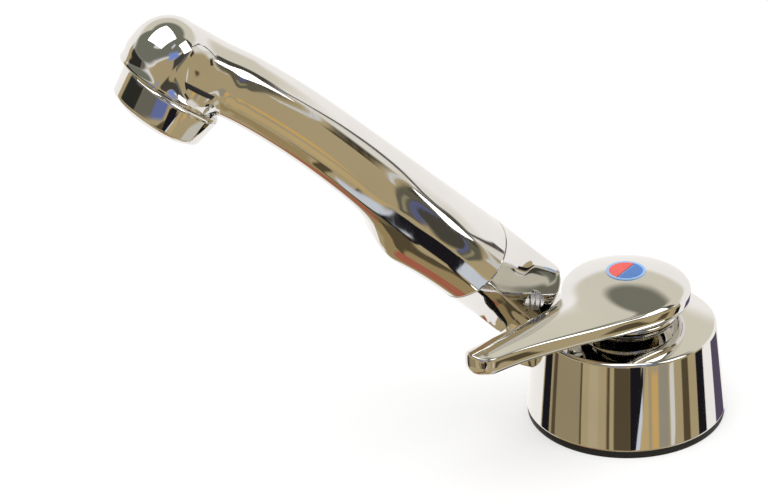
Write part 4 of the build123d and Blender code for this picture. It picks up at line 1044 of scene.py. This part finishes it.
def build_stage():
    """Pale floor, white surroundings, soft lamps, the surround that the chrome mirrors, and the camera."""
    scene = bpy.context.scene
    settings = scene.tap_stage
    turn = settings.azimuth

    floor_material, tree, shader = new_material("Pale floor")
    shader.inputs["Roughness"].default_value = 0.9
    shade = object_noise(tree, 30.0, 2.0)
    glow = add_node(tree, "Emission", {"Color": WHITE})
    seen_floor = add_node(tree, "LightPath").outputs["Is Camera Ray"]
    blend = add_node(tree, "MixShader", {0: maths(tree, "MULTIPLY", seen_floor, FLOOR_GLOW),
                                         1: shader.outputs["BSDF"], 2: glow.outputs["Emission"]})
    tree.links.new(blend.outputs["Shader"], tree.nodes["Material Output"].inputs["Surface"])
    tint = tuple(settings.floor)
    tree.links.new(tinted(tree, ranged(tree, shade, 0, 1), tint, tuple(c * 0.995 for c in tint)),
                   shader.inputs["Base Color"])
    bm = bmesh.new()
    bmesh.ops.create_grid(bm, x_segments=1, y_segments=1, size=FLOOR_HALF)
    bmesh.ops.translate(bm, vec=(0, 0, -FLOOR_GAP), verts=bm.verts)
    floor = stage_object(bm, "studio_floor", floor_material)
    floor.visible_glossy = False

    bm = bmesh.new()
    bmesh.ops.create_uvsphere(bm, u_segments=96, v_segments=48, radius=SURROUND_RADIUS)
    bmesh.ops.reverse_faces(bm, faces=bm.faces)
    surround = surround_material("Studio cards", CARDS, turn)
    stage_object(bm, "studio_surround", surround, glossy_only=True)

    world = bpy.data.worlds.new("White studio")
    scene.world = world
    world.use_nodes = True
    tree = world.node_tree
    tree.nodes.clear()
    path = add_node(tree, "LightPath").outputs
    seen = maths(tree, "MAXIMUM", path["Is Camera Ray"], path["Is Glossy Ray"])
    seen_too = maths(tree, "MAXIMUM", seen, path["Is Transmission Ray"])
    lit = add_node(tree, "Background", {"Color": WHITE, "Strength": ROOM_LIGHT})
    shown = add_node(tree, "Background", {"Color": WHITE, "Strength": 1.0})
    mix = add_node(tree, "MixShader", {0: seen_too, 1: lit.outputs["Background"],
                                       2: shown.outputs["Background"]})
    add_node(tree, "OutputWorld", {"Surface": mix.outputs["Shader"]})

    def lamp(name, place, size, power, tone):
        """Square area lamp aimed at the tap."""
        data = bpy.data.lights.new(name, "AREA")
        data.size = size
        data.energy = power
        data.color = tone
        item = bpy.data.objects.new(name, data)
        scene.collection.objects.link(item)
        spot = Matrix.Rotation(-turn, 4, "Z") @ Vector(place)
        facing = (Vector(LAMP_AIM) - spot).to_track_quat("-Z", "Y").to_matrix().to_4x4()
        item.matrix_world = Matrix.Translation(spot) @ facing

    lamp("Soft overhead", (-0.3, -0.2, 1.3), 1.2, 12.0, (1.0, 0.99, 0.98))
    lamp("Soft side", (0.9, -0.5, 0.8), 0.6, 3.0, (1.0, 0.98, 0.95))

    camera = bpy.data.cameras.new("Camera")
    camera.lens = settings.lens
    camera.sensor_width = 36.0
    camera.clip_start = 0.01
    eye = bpy.data.objects.new("Camera", camera)
    scene.collection.objects.link(eye)
    forward = Vector((sin(turn) * cos(settings.pitch), cos(turn) * cos(settings.pitch), -sin(settings.pitch)))
    right = Vector((cos(turn), -sin(turn), 0))
    upward = right.cross(forward)
    tilted_right = right * cos(settings.roll) + upward * sin(settings.roll)
    tilted_up = -right * sin(settings.roll) + upward * cos(settings.roll)
    eye.matrix_world = Matrix.Translation(Vector(settings.place)) @ Matrix(
        (tilted_right, tilted_up, -forward)).transposed().to_4x4()
    scene.camera = eye
    scene.view_settings.view_transform = "Standard"


class TAP_OT_body(bpy.types.Operator):
    """Build the chrome cup, its black seal, the collar and the hinge post."""

    bl_idname = "tap.body"
    bl_label = "Body and seal"

    def execute(self, context):
        """Builds the pieces of the body."""
        build_body()
        return {"FINISHED"}


class TAP_OT_lever(bpy.types.Operator):
    """Build the domed cap with its long handle."""

    bl_idname = "tap.lever"
    bl_label = "Lever"

    def execute(self, context):
        """Builds the lever."""
        build_lever()
        return {"FINISHED"}


class TAP_OT_knuckle(bpy.types.Operator):
    """Build the knuckle between the fold hinge and the roll seam."""

    bl_idname = "tap.knuckle"
    bl_label = "Hinge knuckle"

    def execute(self, context):
        """Builds the knuckle."""
        build_knuckle()
        return {"FINISHED"}


class TAP_OT_spout(bpy.types.Operator):
    """Build the keeled and bent front of the spout with its head."""

    bl_idname = "tap.spout"
    bl_label = "Spout front"

    def execute(self, context):
        """Builds the front of the spout."""
        build_spout_front()
        return {"FINISHED"}


class TAP_OT_aerator(bpy.types.Operator):
    """Build the aerator's chrome ring."""

    bl_idname = "tap.aerator"
    bl_label = "Aerator ring"

    def execute(self, context):
        """Builds the aerator's ring."""
        build_aerator()
        return {"FINISHED"}


class TAP_OT_inner(bpy.types.Operator):
    """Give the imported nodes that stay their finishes."""

    bl_idname = "tap.inner"
    bl_label = "Inner pieces"

    def execute(self, context):
        """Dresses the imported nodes."""
        for node, name in NODE_FINISHES.items():
            dress(node, name)
        return {"FINISHED"}


class TAP_OT_stage(bpy.types.Operator):
    """Set the floor, light and camera."""

    bl_idname = "tap.stage"
    bl_label = "Studio"

    def execute(self, context):
        """Builds the studio."""
        build_stage()
        return {"FINISHED"}


class TAP_PT_panel(bpy.types.Panel):
    """Buttons for the tap's pieces."""

    bl_label = "Mixer Tap"
    bl_idname = "TAP_PT_panel"
    bl_space_type = "VIEW_3D"
    bl_region_type = "UI"
    bl_category = "Mixer Tap"

    def draw(self, context):
        """Lists the operators."""
        for operator in OPERATORS:
            self.layout.operator(operator.bl_idname)


GROUPS = {"tap_body": TAP_PG_body, "tap_lever": TAP_PG_lever, "tap_spout": TAP_PG_spout,
          "tap_finish": TAP_PG_finish, "tap_stage": TAP_PG_stage}
OPERATORS = (TAP_OT_stage, TAP_OT_inner, TAP_OT_body, TAP_OT_lever, TAP_OT_knuckle, TAP_OT_spout,
             TAP_OT_aerator)


def register():
    """Registers the classes and the scene's property groups."""
    for group in GROUPS.values():
        bpy.utils.register_class(group)
    for operator in OPERATORS:
        bpy.utils.register_class(operator)
    bpy.utils.register_class(TAP_PT_panel)
    for name, group in GROUPS.items():
        setattr(bpy.types.Scene, name, bpy.props.PointerProperty(type=group))


def unregister():
    """Removes what register added."""
    for name in GROUPS:
        delattr(bpy.types.Scene, name)
    bpy.utils.unregister_class(TAP_PT_panel)
    for operator in reversed(OPERATORS):
        bpy.utils.unregister_class(operator)
    for group in reversed(GROUPS.values()):
        bpy.utils.unregister_class(group)


def main():
    """Builds everything in order."""
    register()
    bpy.ops.tap.stage()
    bpy.ops.tap.inner()
    bpy.ops.tap.body()
    bpy.ops.tap.lever()
    bpy.ops.tap.knuckle()
    bpy.ops.tap.spout()
    bpy.ops.tap.aerator()


if __name__ == "__main__":
    main()
